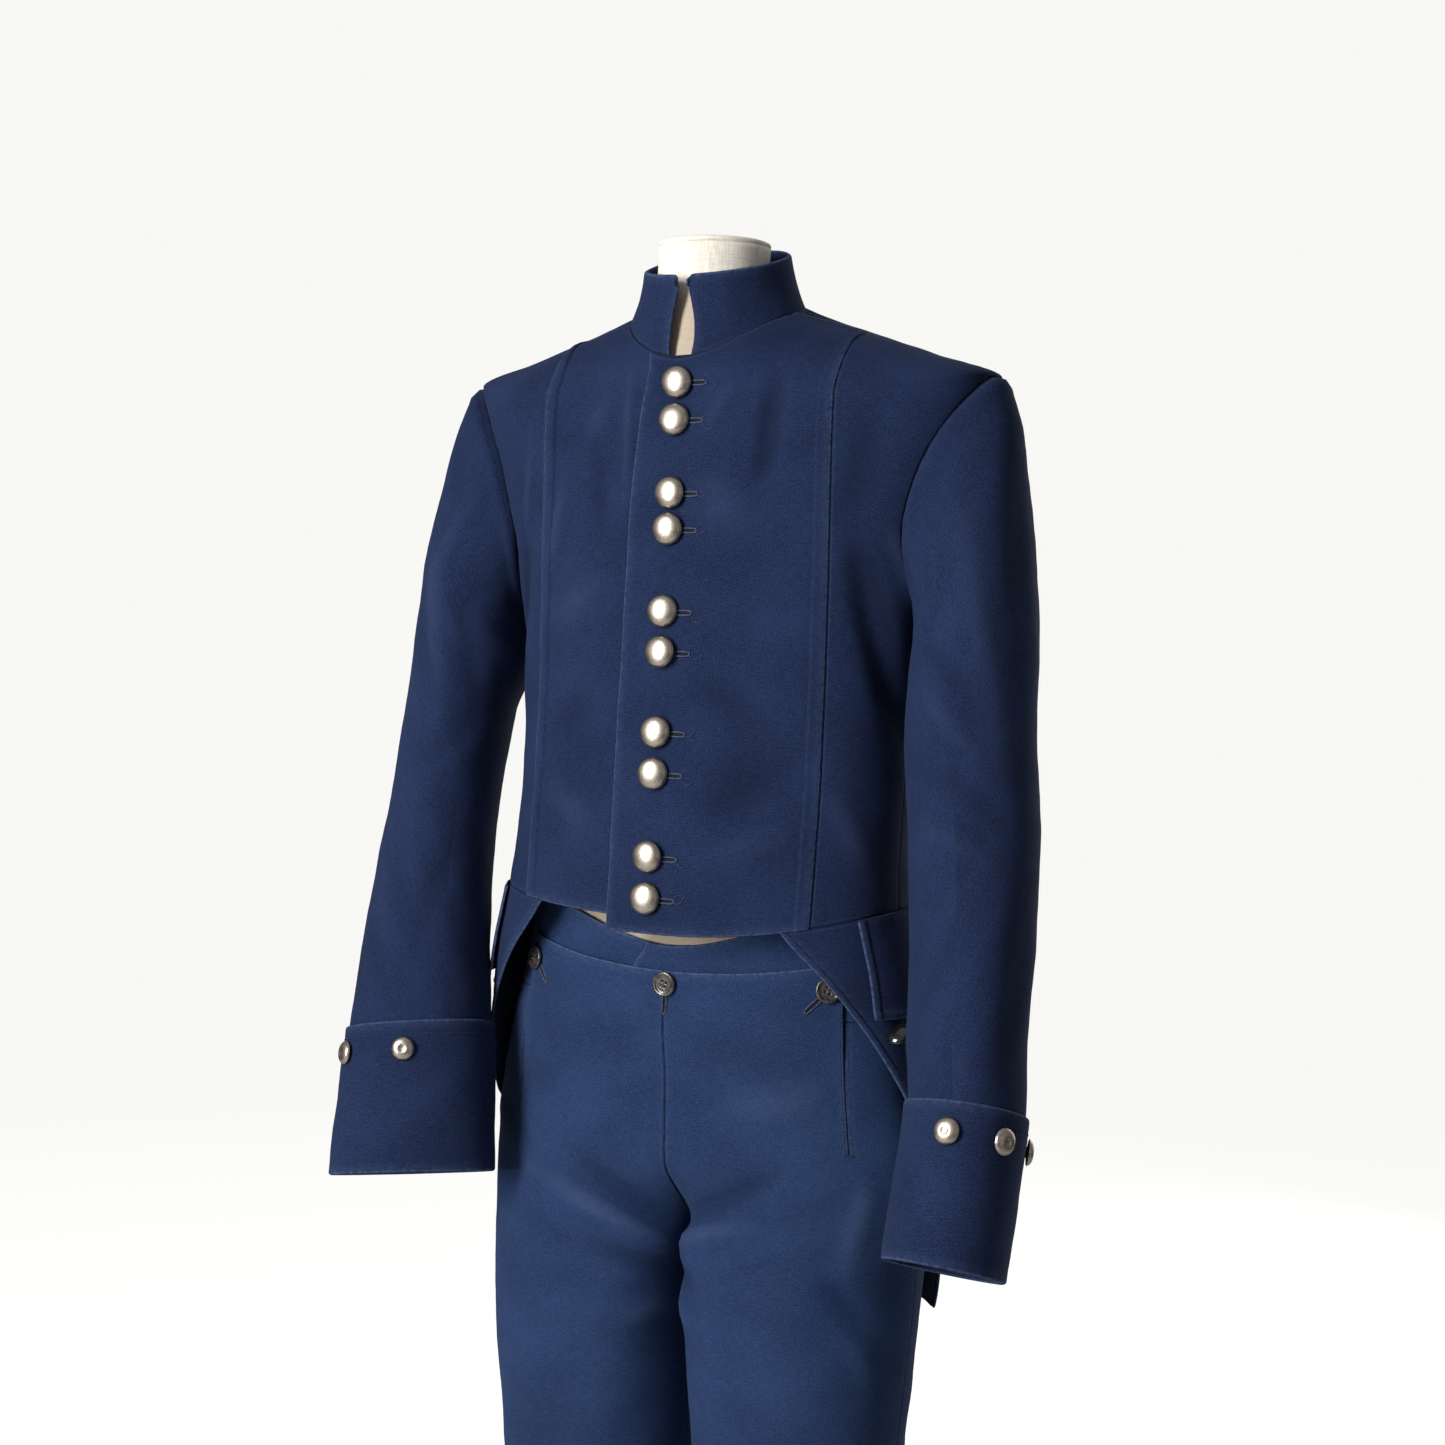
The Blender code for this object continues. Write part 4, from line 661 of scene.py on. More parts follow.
def stitches(name, lines, side=1, pitch=STITCH_PITCH, radius=STITCH_RADIUS, material=None):
    """Rows of sewn stitches, each a small spindle of thread that dips into the cloth at its ends."""
    vertices = []
    faces = []
    flip = np.array([side, 1.0, 1.0])
    for line, facing in lines:
        spots, normals, heads = resampled(line, facing, pitch)
        for index, (spot, normal, head) in enumerate(zip(spots, normals, heads)):
            wide = np.cross(head, normal)
            tilt = unit(head + wide * 0.10 * math.sin(index * 2.4))
            start = len(vertices)
            rings = ((-0.5, 0.0, -0.9), (-0.25, 1.0, 0.1), (0.25, 1.0, 0.1), (0.5, 0.0, -0.9))
            for along, swell, lift in rings:
                middle = spot + tilt * STITCH_LENGTH * along + normal * radius * lift
                for k in range(5):
                    turn = 2 * math.pi * k / 5
                    reach = radius * (0.25 + 0.75 * swell)
                    vertices.append((middle + (wide * math.cos(turn) + normal * math.sin(turn)) * reach)
                                    * flip)
            for ring in range(3):
                for k in range(5):
                    a = start + ring * 5 + k
                    b = start + ring * 5 + (k + 1) % 5
                    faces.append([a, b, b + 5, a + 5] if side > 0 else [a + 5, b + 5, b, a])
            ends = [[start + k for k in range(5)][::-1], [start + 15 + k for k in range(5)]]
            faces.extend(ends if side > 0 else [e[::-1] for e in ends])
    return build_mesh(name, vertices, faces, material or MATERIALS["thread"])


def tube(path, facing, radius, sides=6, closed=False):
    """Vertices and faces of a tube along a path; the radius may vary from point to point."""
    count = len(path)
    radius = np.broadcast_to(radius, (count,))
    if closed:
        heads = unit(np.roll(path, -1, axis=0) - np.roll(path, 1, axis=0))
    else:
        heads = unit(np.gradient(path, axis=0))
    wide = unit(np.cross(heads, facing))
    up = np.cross(wide, heads)
    vertices = []
    for i in range(count):
        for k in range(sides):
            turn = 2 * math.pi * k / sides
            vertices.append(path[i] + (wide[i] * math.cos(turn) + up[i] * math.sin(turn)) * radius[i])
    faces = []
    for i in range(count if closed else count - 1):
        j = (i + 1) % count
        for k in range(sides):
            m = (k + 1) % sides
            faces.append([i * sides + m, i * sides + k, j * sides + k, j * sides + m])
    if not closed:
        faces.append([k for k in range(sides)])
        faces.append([(count - 1) * sides + k for k in range(sides)][::-1])
    return vertices, faces


def joined(parts):
    vertices = []
    faces = []
    for made, rings in parts:
        start = len(vertices)
        vertices.extend(made)
        faces.extend([[start + i for i in face] for face in rings])
    return vertices, faces


def buttonhole(name, start, end, normal, ends=()):
    """A sewn hole: a ring of thread with a dark slit, and loose ends of thread."""
    head = unit(end - start)
    wide = np.cross(head, normal)
    half = np.linalg.norm(end - start) / 2
    middle = (start + end) / 2
    turns = np.linspace(0, 2 * math.pi, 64, endpoint=False)
    ring = (middle + np.outer(np.cos(turns) * half, head)
            + np.outer(np.sign(np.sin(turns)) * np.abs(np.sin(turns)) ** 0.5 * 0.0018, wide))
    ring = ring + normal * 0.0003
    bumps = 0.00066 + 0.00020 * np.sin(np.arange(64) * 2.3)
    parts = [tube(ring, np.tile(normal, (64, 1)), bumps, closed=True)]
    for bend, length, swing in ends:
        steps = np.linspace(0, 1, 14)[:, None]
        curl = head * (steps * length * math.cos(swing)) + wide * (steps * length * math.sin(swing))
        curl = curl + wide * np.sin(steps * math.pi) * bend
        path = end - head * 0.001 + curl + normal * (0.0004 + 0.0007 * np.sin(steps * math.pi))
        parts.append(tube(path, np.tile(normal, (14, 1)), 0.00017, sides=5))
    vertices, faces = joined(parts)
    sewn = build_mesh(name, vertices, faces, MATERIALS["thread_dark"])
    slit = (middle + np.outer(np.cos(turns) * (half - 0.0006), head)
            + np.outer(np.sin(turns) * 0.0008, wide) + normal * 0.00025)
    below = slit - normal * 0.0012
    count = len(turns)
    walls = [[k, (k + 1) % count, count + (k + 1) % count, count + k] for k in range(count)]
    lids = [list(range(count)), list(range(2 * count - 1, count - 1, -1))]
    flat = build_mesh(name + "_slit", list(slit) + list(below), walls + lids, MATERIALS["shade"])
    return [sewn, flat]


def lathe(name, rows, material, centre, axis, sides=40, pits=()):
    """A turned piece about an axis; rows are (radius, height), from its foot to its middle."""
    axis = unit(np.asarray(axis, float))
    across = unit(np.cross(axis, (0.31, 0.17, 0.93) if abs(axis[2]) < 0.9 else (1.0, 0.0, 0.0)))
    up = np.cross(axis, across)
    vertices = []
    for radius, height in rows:
        for k in range(sides):
            turn = 2 * math.pi * k / sides
            spot = (radius * math.cos(turn), radius * math.sin(turn))
            sunk = sum(depth * math.exp(-((math.hypot(spot[0] - px, spot[1] - py) / wide) ** 4))
                       for px, py, wide, depth in pits)
            if height < 0.4 * rows[-1][1]:
                sunk = 0.0
            vertices.append(np.asarray(centre) + across * spot[0] + up * spot[1]
                            + axis * (height - sunk))
    faces = []
    for r in range(len(rows) - 1):
        for k in range(sides):
            m = (k + 1) % sides
            faces.append([r * sides + k, r * sides + m, (r + 1) * sides + m, (r + 1) * sides + k])
    faces.append([k for k in range(sides)][::-1])
    faces.append([(len(rows) - 1) * sides + k for k in range(sides)])
    return build_mesh(name, vertices, faces, material)


def shader_of(name):
    material = bpy.data.materials.new(name)
    material.use_nodes = True
    tree = material.node_tree
    return material, tree, tree.nodes["Principled BSDF"]


def node(tree, kind, **values):
    made = tree.nodes.new(kind)
    for key, value in values.items():
        if key in made.inputs:
            made.inputs[key].default_value = value
        else:
            setattr(made, key, value)
    return made


def noise(tree, vector, stretch, scale, detail=3.0):
    """Noise on a vector that is stretched first; returns the noise value's socket."""
    mapped = node(tree, "ShaderNodeMapping")
    mapped.inputs["Scale"].default_value = stretch
    tree.links.new(vector, mapped.inputs["Vector"])
    made = node(tree, "ShaderNodeTexNoise", Scale=scale, Detail=detail)
    tree.links.new(mapped.outputs[0], made.inputs["Vector"])
    return made.outputs[0]


def ranged(tree, value, low, high, out_low, out_high):
    made = node(tree, "ShaderNodeMapRange", interpolation_type="SMOOTHSTEP")
    for key, number in zip(("From Min", "From Max", "To Min", "To Max"), (low, high, out_low, out_high)):
        made.inputs[key].default_value = number
    tree.links.new(value, made.inputs[0])
    return made.outputs[0]


def maths(tree, operation, a, b):
    made = node(tree, "ShaderNodeMath", operation=operation)
    for index, item in enumerate((a, b)):
        if isinstance(item, (int, float)):
            made.inputs[index].default_value = item
        else:
            tree.links.new(item, made.inputs[index])
    return made.outputs[0]


def mixed(tree, share, a, b, blend_type="MIX"):
    made = node(tree, "ShaderNodeMix", data_type="RGBA", blend_type=blend_type)
    for slot_name, item in (("Factor", share), ("A", a), ("B", b)):
        sockets = [s for s in made.inputs if s.name == slot_name and s.enabled]
        if isinstance(item, (int, float)):
            sockets[0].default_value = item
        elif isinstance(item, tuple):
            sockets[0].default_value = item + (1.0,)
        else:
            tree.links.new(item, sockets[0])
    return [s for s in made.outputs if s.enabled][0]


def bumped(tree, shader, height, strength, distance):
    made = node(tree, "ShaderNodeBump", Strength=strength, Distance=distance)
    tree.links.new(height, made.inputs["Height"])
    tree.links.new(made.outputs[0], shader.inputs["Normal"])


def navy_material(name, dark, light, wear_and_highlight):
    """Napped cotton: a slub across the cloth, a soft nap, wear on folds, crease ridges lightened partly as
    wear and partly as painted highlight, painted shade in crease troughs and along seams, and flecks of
    lint.
    """
    material, tree, shader = shader_of(name)
    flat = node(tree, "ShaderNodeUVMap", uv_map="cloth").outputs[0]
    slub = noise(tree, flat, (130.0, 1500.0, 1.0), 1.0, 3.0)
    warp = noise(tree, flat, (1500.0, 130.0, 1.0), 1.0, 2.0)
    nap = noise(tree, flat, (1.0, 1.0, 1.0), 1100.0, 4.0)
    patch = noise(tree, flat, (1.0, 1.2, 1.0), 11.0, 5.0)
    mix = maths(tree, "ADD", maths(tree, "MULTIPLY", slub, 0.40), maths(tree, "MULTIPLY", nap, 1.00))
    mix = maths(tree, "ADD", mix, maths(tree, "MULTIPLY", patch, 0.35))
    mix = maths(tree, "ADD", mix, maths(tree, "MULTIPLY", warp, 0.25))
    colour = mixed(tree, ranged(tree, mix, 0.86, 1.14, 0.0, 1.0), dark, light)
    # crease ridges are lightened, partly as wear and partly as painted highlight; crease troughs are
    # darkened with painted shade
    crest = node(tree, "ShaderNodeAttribute", attribute_name="crest").outputs["Fac"]
    colour = mixed(tree, ranged(tree, crest, 0.05, 1.0, 0.0, 0.14), colour, wear_and_highlight)
    colour = mixed(tree, ranged(tree, crest, -1.0, -0.05, 0.45, 0.0), colour, tuple(0.5 * c for c in dark))
    fold = node(tree, "ShaderNodeAttribute", attribute_name="fold").outputs["Fac"]
    groove = node(tree, "ShaderNodeAttribute", attribute_name="groove").outputs["Fac"]
    rub = noise(tree, flat, (1.0, 1.0, 1.0), 240.0, 4.0)
    wear = maths(tree, "MULTIPLY", ranged(tree, fold, 0.0003, 0.0014, 0.55, 0.0),
                 ranged(tree, rub, 0.3, 0.62, 0.25, 1.0))
    haze = maths(tree, "MULTIPLY", ranged(tree, fold, 0.0, 0.009, 0.16, 0.0),
                 ranged(tree, rub, 0.35, 0.65, 0.3, 1.0))
    edge_rub = maths(tree, "MULTIPLY", ranged(tree, maths(tree, "ABSOLUTE", maths(
        tree, "SUBTRACT", groove, 0.0022), 0.0), 0.0, 0.0011, 0.18, 0.0), rub)
    colour = mixed(tree, maths(tree, "MAXIMUM", maths(tree, "MAXIMUM", wear, haze), edge_rub), colour, wear_and_highlight)
    # painted shade: the cloth beside seams and beside the fall's slit is darkened
    sunk = ranged(tree, groove, 0.0002, 0.0012, 0.38, 0.0)
    colour = mixed(tree, sunk, colour, tuple(0.22 * c for c in dark))
    lint = node(tree, "ShaderNodeTexVoronoi", Scale=34.0)
    tree.links.new(flat, lint.inputs["Vector"])
    rare = node(tree, "ShaderNodeSeparateColor")
    tree.links.new(lint.outputs["Color"], rare.inputs[0])
    fleck = maths(tree, "MULTIPLY", ranged(tree, lint.outputs["Distance"], 0.012, 0.022, 0.7, 0.0),
                  ranged(tree, rare.outputs[0], 0.88, 0.90, 0.0, 1.0))
    colour = mixed(tree, fleck, colour, (0.42, 0.45, 0.52))
    tree.links.new(colour, shader.inputs["Base Color"])
    shader.inputs["Roughness"].default_value = 0.92
    shader.inputs["Specular IOR Level"].default_value = 0.10
    shader.inputs["Sheen Weight"].default_value = 0.05
    shader.inputs["Sheen Roughness"].default_value = 0.45
    shader.inputs["Sheen Tint"].default_value = (0.45, 0.55, 0.85, 1.0)
    height = maths(tree, "ADD", maths(tree, "MULTIPLY", slub, 0.3), maths(tree, "MULTIPLY", nap, 0.7))
    bumped(tree, shader, height, 0.45, 0.0005)
    return material


def plain_material(name, colour, roughness, metallic=0.0, mottle=None, scale=300.0, bump=0.0,
                   stretch=(1.0, 1.0, 1.0), coat=0.0):
    """One colour mottled with a second one by noise, with a bump of the same noise."""
    material, tree, shader = shader_of(name)
    place = node(tree, "ShaderNodeTexCoord").outputs["Object"]
    grain = noise(tree, place, stretch, scale, 4.0)
    second = mottle or tuple(0.8 * c for c in colour)
    tree.links.new(mixed(tree, ranged(tree, grain, 0.35, 0.65, 0.0, 1.0), colour, second),
                   shader.inputs["Base Color"])
    shader.inputs["Roughness"].default_value = roughness
    shader.inputs["Metallic"].default_value = metallic
    shader.inputs["Coat Weight"].default_value = coat
    if bump:
        bumped(tree, shader, grain, bump, 0.0004)
    return material


NECK_SHADE_LOW = 1.535
NECK_SHADE_HIGH = 1.562


def calico_material():
    """Unbleached plain weave, browned below the collar by painted shade."""
    material, tree, shader = shader_of("calico_weave")
    place = node(tree, "ShaderNodeTexCoord").outputs["Object"]
    across = noise(tree, place, (1.0, 1.0, 18.0), 90.0, 2.0)
    along = noise(tree, place, (16.0, 16.0, 1.0), 70.0, 2.0)
    both = maths(tree, "MULTIPLY", maths(tree, "ADD", across, along), 0.5)
    colour = mixed(tree, ranged(tree, both, 0.38, 0.62, 0.0, 1.0), (0.68, 0.62, 0.52), (0.84, 0.80, 0.72))
    height = node(tree, "ShaderNodeSeparateXYZ")
    tree.links.new(place, height.inputs[0])
    # painted shade: the calico is browned below the collar, where the collar shades the neck
    below = ranged(tree, height.outputs["Z"], NECK_SHADE_LOW, NECK_SHADE_HIGH, 0.8, 0.0)
    colour = mixed(tree, below, colour, (0.36, 0.28, 0.19))
    tree.links.new(colour, shader.inputs["Base Color"])
    shader.inputs["Roughness"].default_value = 0.95
    bumped(tree, shader, both, 0.28, 0.0006)
    return material


MATERIALS = {
    "navy": navy_material("navy_cloth", (0.0058, 0.0110, 0.0330), (0.0155, 0.0275, 0.0760),
                          (0.0700, 0.1000, 0.1980)),
    # painted light: a lighter copy of the coat's navy cloth, so the trousers look more lit than the coat
    "navy_lit_trousers": navy_material("navy_trouser_cloth", (0.0085, 0.0190, 0.0540),
                                   (0.0205, 0.0415, 0.1080), (0.0840, 0.1220, 0.2350)),
    "thread": plain_material("navy_thread", (0.011, 0.017, 0.045), 0.8, scale=900.0),
    "thread_dark": plain_material("navy_thread_dark", (0.014, 0.020, 0.050), 0.7, scale=900.0,
                                  mottle=(0.05, 0.065, 0.12)),
    "shade": plain_material("slit_shade", (0.003, 0.004, 0.008), 1.0),
    "metal": plain_material("brushed_pewter", (0.46, 0.405, 0.345), 0.36, 1.0,
                            mottle=(0.36, 0.31, 0.26), scale=420.0, bump=0.12, stretch=(1.0, 1.0, 3.0)),
    "horn": plain_material("dark_horn", (0.020, 0.018, 0.018), 0.24, mottle=(0.060, 0.052, 0.046),
                           scale=160.0, stretch=(1.0, 3.0, 1.0), coat=0.4),
    "gloss": plain_material("black_gloss", (0.006, 0.006, 0.007), 0.16, scale=200.0, coat=0.6),
    "calico": calico_material(),
    "stand": plain_material("satin_paint", (0.035, 0.035, 0.038), 0.42, 0.0, scale=500.0, bump=0.05),
}


def arc_columns(surface, keys, first, last, starts, ends, count):
    """Angles of a panel's columns: fixed distances beside both edges, even steps between them."""
    rows = []
    for key, a0, a1 in zip(keys, first, last):
        dense = np.linspace(a0, a1, 240)
        line = surface(dense, np.full(240, key))
        run = np.concatenate([[0], np.cumsum(np.linalg.norm(np.diff(line, axis=0), axis=1))])
        fit = min(1.0, run[-1] / (3.0 * (starts[-1] + ends[-1])))
        near = np.array(starts) * fit
        far = run[-1] - np.array(ends)[::-1] * fit
        middle = np.linspace(near[-1], far[0], count + 1)[1:-1]
        rows.append(np.interp(np.concatenate([near, middle, far]), run, dense))
    angles = np.array(rows)
    return angles, np.repeat(np.asarray(keys)[:, None], angles.shape[1], axis=1)


NEAR = (0.0, 0.0006, 0.0014, 0.0028, 0.0050)
NEAR_BAND = (0.0, 0.0006, 0.0014, 0.0028, 0.0040, 0.0047, 0.0053, 0.0059, 0.0075)
NEAR_LAP = (0.0, 0.0006, 0.0014, 0.0030, 0.0060, 0.0088, 0.0098, 0.0104, 0.0110, 0.0118, 0.0130, 0.0150)


def rows_of(low, high, pitch, starts=NEAR, ends=NEAR):
    count = max(2, int(round((high - low) / pitch)))
    middle = np.linspace(low + starts[-1], high - ends[-1], count + 1)[1:-1]
    return np.concatenate([low + np.array(starts), middle, high - np.array(ends)[::-1]])


ARMHOLE_ROWS = ARMHOLE_MIDDLE - ARMHOLE_HALF * np.cos(np.linspace(0, math.pi, 37))


def coat_levels(top):
    low = rows_of(COAT_HEM, ARMPIT, 0.0055, ends=(0.004,))
    shoulder = rows_of(SHOULDER_TIP, top, 0.0013, starts=(0.0008,), ends=(0.0, 0.0004, 0.0010))
    return np.concatenate([low, ARMHOLE_ROWS, shoulder])


def princess_angles(levels):
    reach = np.minimum(PRINCESS_X, COAT_CURVES.read("half_width", levels))
    found = angle_at_x(COAT_CURVES, reach, levels)
    return np.where(levels <= PRINCESS_TOP, np.minimum(found, math.radians(89.2)), QUARTER)


def armhole_edge(levels, sign):
    inside = (levels > ARMPIT) & (levels < SHOULDER_TIP)
    clipped = np.clip(levels, ARMPIT, SHOULDER_TIP)
    return np.where(inside, armhole_angle(clipped, sign), QUARTER)


def coat_place(side, back=False):
    def place(across, level):
        angle = angle_at_x(COAT_CURVES, np.asarray(across), level)
        return coat_surface(side)(math.pi - angle if back else angle, level)
    return place


def coat_front(side):
    levels = coat_levels(NECK_SEAM)
    first_x = FLAP_CURVES.read("x", levels) if side > 0 else np.full_like(levels, -UNDERLAP_X)
    first = angle_at_x(COAT_CURVES, first_x, levels)
    surface = coat_surface(side)
    a, k = arc_columns(surface, levels, first, princess_angles(levels), NEAR, NEAR_LAP, 34)

    def rise(cloth):
        gap = cloth.gaps["last"]
        lap = LAP_EDGE_RISE * (1 - ease((gap - 0.0100) / 0.0022))
        made = lap - 0.0006 * np.exp(-((gap - 0.0112) / 0.0007) ** 2)
        if side > 0:
            x = cloth.base[..., 0]
            made = made + LAP_RISE * (1 - ease((x - LAP_FADE_START) / (LAP_FADE_END - LAP_FADE_START)))
        return made

    edges = {"first": FOLD, "last": FOLD, "low": FOLD, "high": SEAM}
    return Cloth(surface, a, k, rise, COAT_CREASES[side], coat_place(side), edges)


def coat_side(side):
    levels = coat_levels(PRINCESS_TOP)
    surface = coat_surface(side)
    a, k = arc_columns(surface, levels, princess_angles(levels) + 0.002, armhole_edge(levels, 1),
                       NEAR, NEAR, 14)
    edges = {"first": SEAM, "last": SEAM, "low": SEAM}
    return Cloth(surface, a, k, 0.0, COAT_CREASES[side], coat_place(side), edges)


def coat_back(side):
    levels = coat_levels(NECK_SEAM)
    surface = coat_surface(side)
    a, k = arc_columns(surface, levels, armhole_edge(levels, -1), np.full_like(levels, math.pi - 0.001),
                       NEAR, NEAR, 26)
    edges = {"first": SEAM, "last": SEAM, "low": SEAM, "high": SEAM}
    return Cloth(surface, a, k, 0.0, BACK_CREASES[side], coat_place(side, True), edges)


def dressed(node_name, cloth, wall, side=1, closed=False, keep=None, dye="navy"):
    """The piece of cloth that stands for one solid and hides it; the size and area of its cut are worked out
    but not used.
    """
    piece = cloth_mesh(f"{node_name}_cloth", cloth, wall, MATERIALS[dye], side, closed, keep)
    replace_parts(piece, node_name)
    width, length = cloth.cut(closed)
    area = min(cloth.area(closed, keep), width * length)
    return piece


COLLAR_WALL = 0.0026
COLLAR_CORNER = 0.004
COLLAR_FORE_HEIGHT = 0.0625


def collar_end(share):
    radius = blend(COAT[-1].half_width, COLLAR_TOP_RADIUS, share)
    return np.arcsin(GAP_CURVES.read("half_gap", share) / radius)


def collar_surface(angle, share):
    """The collar with its top front corners rounded off."""
    beyond = (np.minimum(angle, 2 * math.pi - angle) - collar_end(share)) * COLLAR_TOP_RADIUS
    near = np.clip(1 - beyond / COLLAR_CORNER, 0, 1)
    lowered = COLLAR_CORNER * (1 - np.sqrt(1 - near ** 2)) / COLLAR_FORE_HEIGHT
    return collar_points(angle, share * (1 - lowered))


def collar():
    near = tuple(gap / COLLAR_FORE_HEIGHT for gap in NEAR)
    shares = rows_of(0.0, 1.0, 0.085, near, near)
    ends = collar_end(shares)
    a, k = arc_columns(collar_points, shares, ends, 2 * math.pi - ends, NEAR, NEAR, 84)
    creases = (Crease(0.62, 0.05, 0.55, 0.95, 0.006, 0.0009), Crease(5.5, 0.1, 5.6, 0.8, 0.008, -0.0008),
               Crease(2.4, 0.2, 2.6, 0.9, 0.009, 0.0008))
    edges = {"first": FOLD, "last": FOLD, "high": FOLD, "low": SEAM}
    return Cloth(collar_surface, a, k, 0.0, creases, collar_points, edges)


SLEEVE_SEAM_TURN = math.radians(112.5)
PUFF_HEIGHT = 0.0015
HEAD_FULLNESS = {1: 0.0040, -1: 0.0080}
HEAD_TURN = math.radians(20)
HEAD_SPREAD = math.radians(75)


def sleeve_place(side):
    def place(turn, along):
        return sleeve_surface(side)(np.radians(turn), along)
    return place


def sleeve_piece(side, first, last, columns):
    """One cut piece of a sleeve, whose head stands a little proud of the armhole seam."""
    alongs = rows_of(0.0006, SLEEVE_END, 0.0055)
    a, k = arc_columns(sleeve_surface(side), alongs, np.full_like(alongs, first),
                       np.full_like(alongs, last), NEAR, NEAR, columns)

    def rise(cloth):
        away = (np.mod(a - HEAD_TURN + math.pi, 2 * math.pi) - math.pi) / HEAD_SPREAD
        head = ease(cloth.t / 0.007) * (1 - ease((cloth.t - 0.030) / 0.090)) * np.exp(-away ** 2)
        return PUFF_HEIGHT * np.exp(-((cloth.t - 0.007) / 0.006) ** 2) + HEAD_FULLNESS[side] * head

    edges = {"first" if first < 0 else "last": SEAM, "low": SEAM}
    return Cloth(sleeve_surface(side), a, k, rise, SLEEVE_CREASES[side], sleeve_place(side), edges)


CUFF_WALL = 0.0022
CUFF_RISE = 0.0006
CUFF_STITCH_DROP = 0.010


def cuff(side):
    alongs = rows_of(CUFF_START, CUFF_END, 0.0055)
    turns = np.linspace(0, 2 * math.pi, 84, endpoint=False)
    a, k = np.meshgrid(turns, alongs)

    def rise(cloth):
        groove = -0.0003 * np.exp(-((cloth.t - CUFF_STITCH_DROP) / 0.0015) ** 2)
        return CUFF_RISE + CUFF_WALL + groove

    edges = {"low": FOLD, "high": FOLD}
    return Cloth(sleeve_surface(side), a, k, rise, SLEEVE_CREASES[side], sleeve_place(side), edges)


TAIL_FOOT = 0.736
TAIL_VENT = math.pi - math.radians(0.4)


def tail_place(side):
    def place(turn, z):
        return tail_surface(side)(np.radians(turn), z)
    return place


def tail(side):
    heights = rows_of(TAIL_FOOT, COAT_HEM - 0.0005, 0.006)
    first = np.radians(TAIL_CURVES.read("edge_angle", heights))
    a, k = arc_columns(tail_surface(side), heights, first, np.full_like(heights, TAIL_VENT),
                       NEAR_BAND, NEAR, 36)
    edges = {"first": BANDED, "last": FOLD, "low": FOLD, "high": SEAM}
    return Cloth(tail_surface(side), a, k, 0.0, TAIL_CREASES[side], tail_place(side), edges)


POCKET_TOP = 1.0705
POCKET_FOOT = 0.993
POCKET_FIRST = math.radians(64)
POCKET_LAST = math.radians(106)
POCKET_RISE = 0.0030
POCKET_FOOT_RISE = 0.0042
POCKET_WALL = COAT_WALL - 0.0002


def pocket_flap(side):
    heights = rows_of(POCKET_FOOT, POCKET_TOP, 0.005, NEAR_BAND, NEAR)
    a, k = arc_columns(tail_surface(side), heights, np.full_like(heights, POCKET_FIRST),
                       np.full_like(heights, POCKET_LAST), NEAR_BAND, NEAR_BAND, 16)

    def rise(cloth):
        share = (POCKET_TOP - k) / (POCKET_TOP - POCKET_FOOT)
        middle = cloth.s - cloth.s[:, -1:] * 0.42
        dimple = 0.0011 * np.exp(-(middle / 0.007) ** 2) * ease(share * 1.4)
        return blend(POCKET_RISE, POCKET_FOOT_RISE, share) - dimple

    edges = {"first": BANDED, "last": BANDED, "low": BANDED, "high": SEAM}
    return Cloth(tail_surface(side), a, k, rise, (), None, edges)


FALL_RISE = TROUSER_WALL + 3 * SEAM_GAP
FALL_RISE_FOOT = 0.930
FALL_RISE_MARGIN = 0.008
FALL_FLAT_X = 0.060
FALL_OUTER_X = 0.115
WAISTBAND_WALL = 0.0018
WAISTBAND_LAP_RISE = 0.0026
WAISTBAND_UNDER_X = 0.020
WAISTBAND_TIP_X = -0.030
WAISTBAND_FADE_X = 0.090


def fall_half_width(z):
    share = np.clip((z - SLIT_FOOT) / (FALL_TOP_SIDE - SLIT_FOOT), 0.0, 1.0)
    return blend(FALL_HALF_WIDTH_FOOT, FALL_HALF_WIDTH_TOP, share)


def fall_top(x):
    share = np.minimum(np.abs(x) / FALL_HALF_WIDTH_TOP, 1.0)
    return blend(FALL_TOP_MIDDLE, FALL_TOP_SIDE, share * share)


def fall_rise(x, z):
    """The fall passes over the waistband, and at the middle over both of its ends."""
    high = ease((z - FALL_RISE_FOOT) / (WAIST_SEAM - FALL_RISE_MARGIN - FALL_RISE_FOOT))
    inner = 1.0 - ease((np.abs(x) - FALL_FLAT_X) / (FALL_OUTER_X - FALL_FLAT_X))
    return (FALL_RISE + (WAISTBAND_LAP_RISE / 2 + 2 * SEAM_GAP) * inner) * high


def trouser_place(back):
    def place(share, z):
        return trouser_surface(back)(np.asarray(share), z)
    return place


def near_steps(length, count):
    """Shares of a length: close together at both ends, even between them."""
    near = np.array(NEAR) / length
    return np.concatenate([near, np.linspace(near[-1], 1 - near[-1], count + 1)[1:-1], 1 - near[::-1]])


INNER_LEG_REACH = 0.050
InnerRow = namedtuple("InnerRow", "z x")
INNER_LEGS = Curves((
    InnerRow(0.050, 0.030), InnerRow(0.420, 0.024), InnerRow(0.560, 0.0110), InnerRow(0.640, 0.0052),
    InnerRow(0.700, 0.0022), InnerRow(0.790, 0.0004),
))


def inner_leg_rise(edge_x, z, gap):
    """Lets the inner side of a leg hang almost to the middle, so the legs part low down."""
    wanted = np.maximum(edge_x - INNER_LEGS.read("x", z), 0.0) * (z < CROTCH)
    return wanted * np.exp(-(gap / INNER_LEG_REACH) ** 2)


FALL_COLUMNS = near_steps(0.150, 30)
BEYOND_COLUMNS = near_steps(0.075, 14)
SPLIT = len(FALL_COLUMNS)
LEG_HEIGHTS = rows_of(TROUSER_HEM, SLIT_FOOT, 0.0075, ends=(0.0,))
FALL_ROWS = near_steps(0.130, 26)[1:]
SLIT_ROW = len(LEG_HEIGHTS) - 1


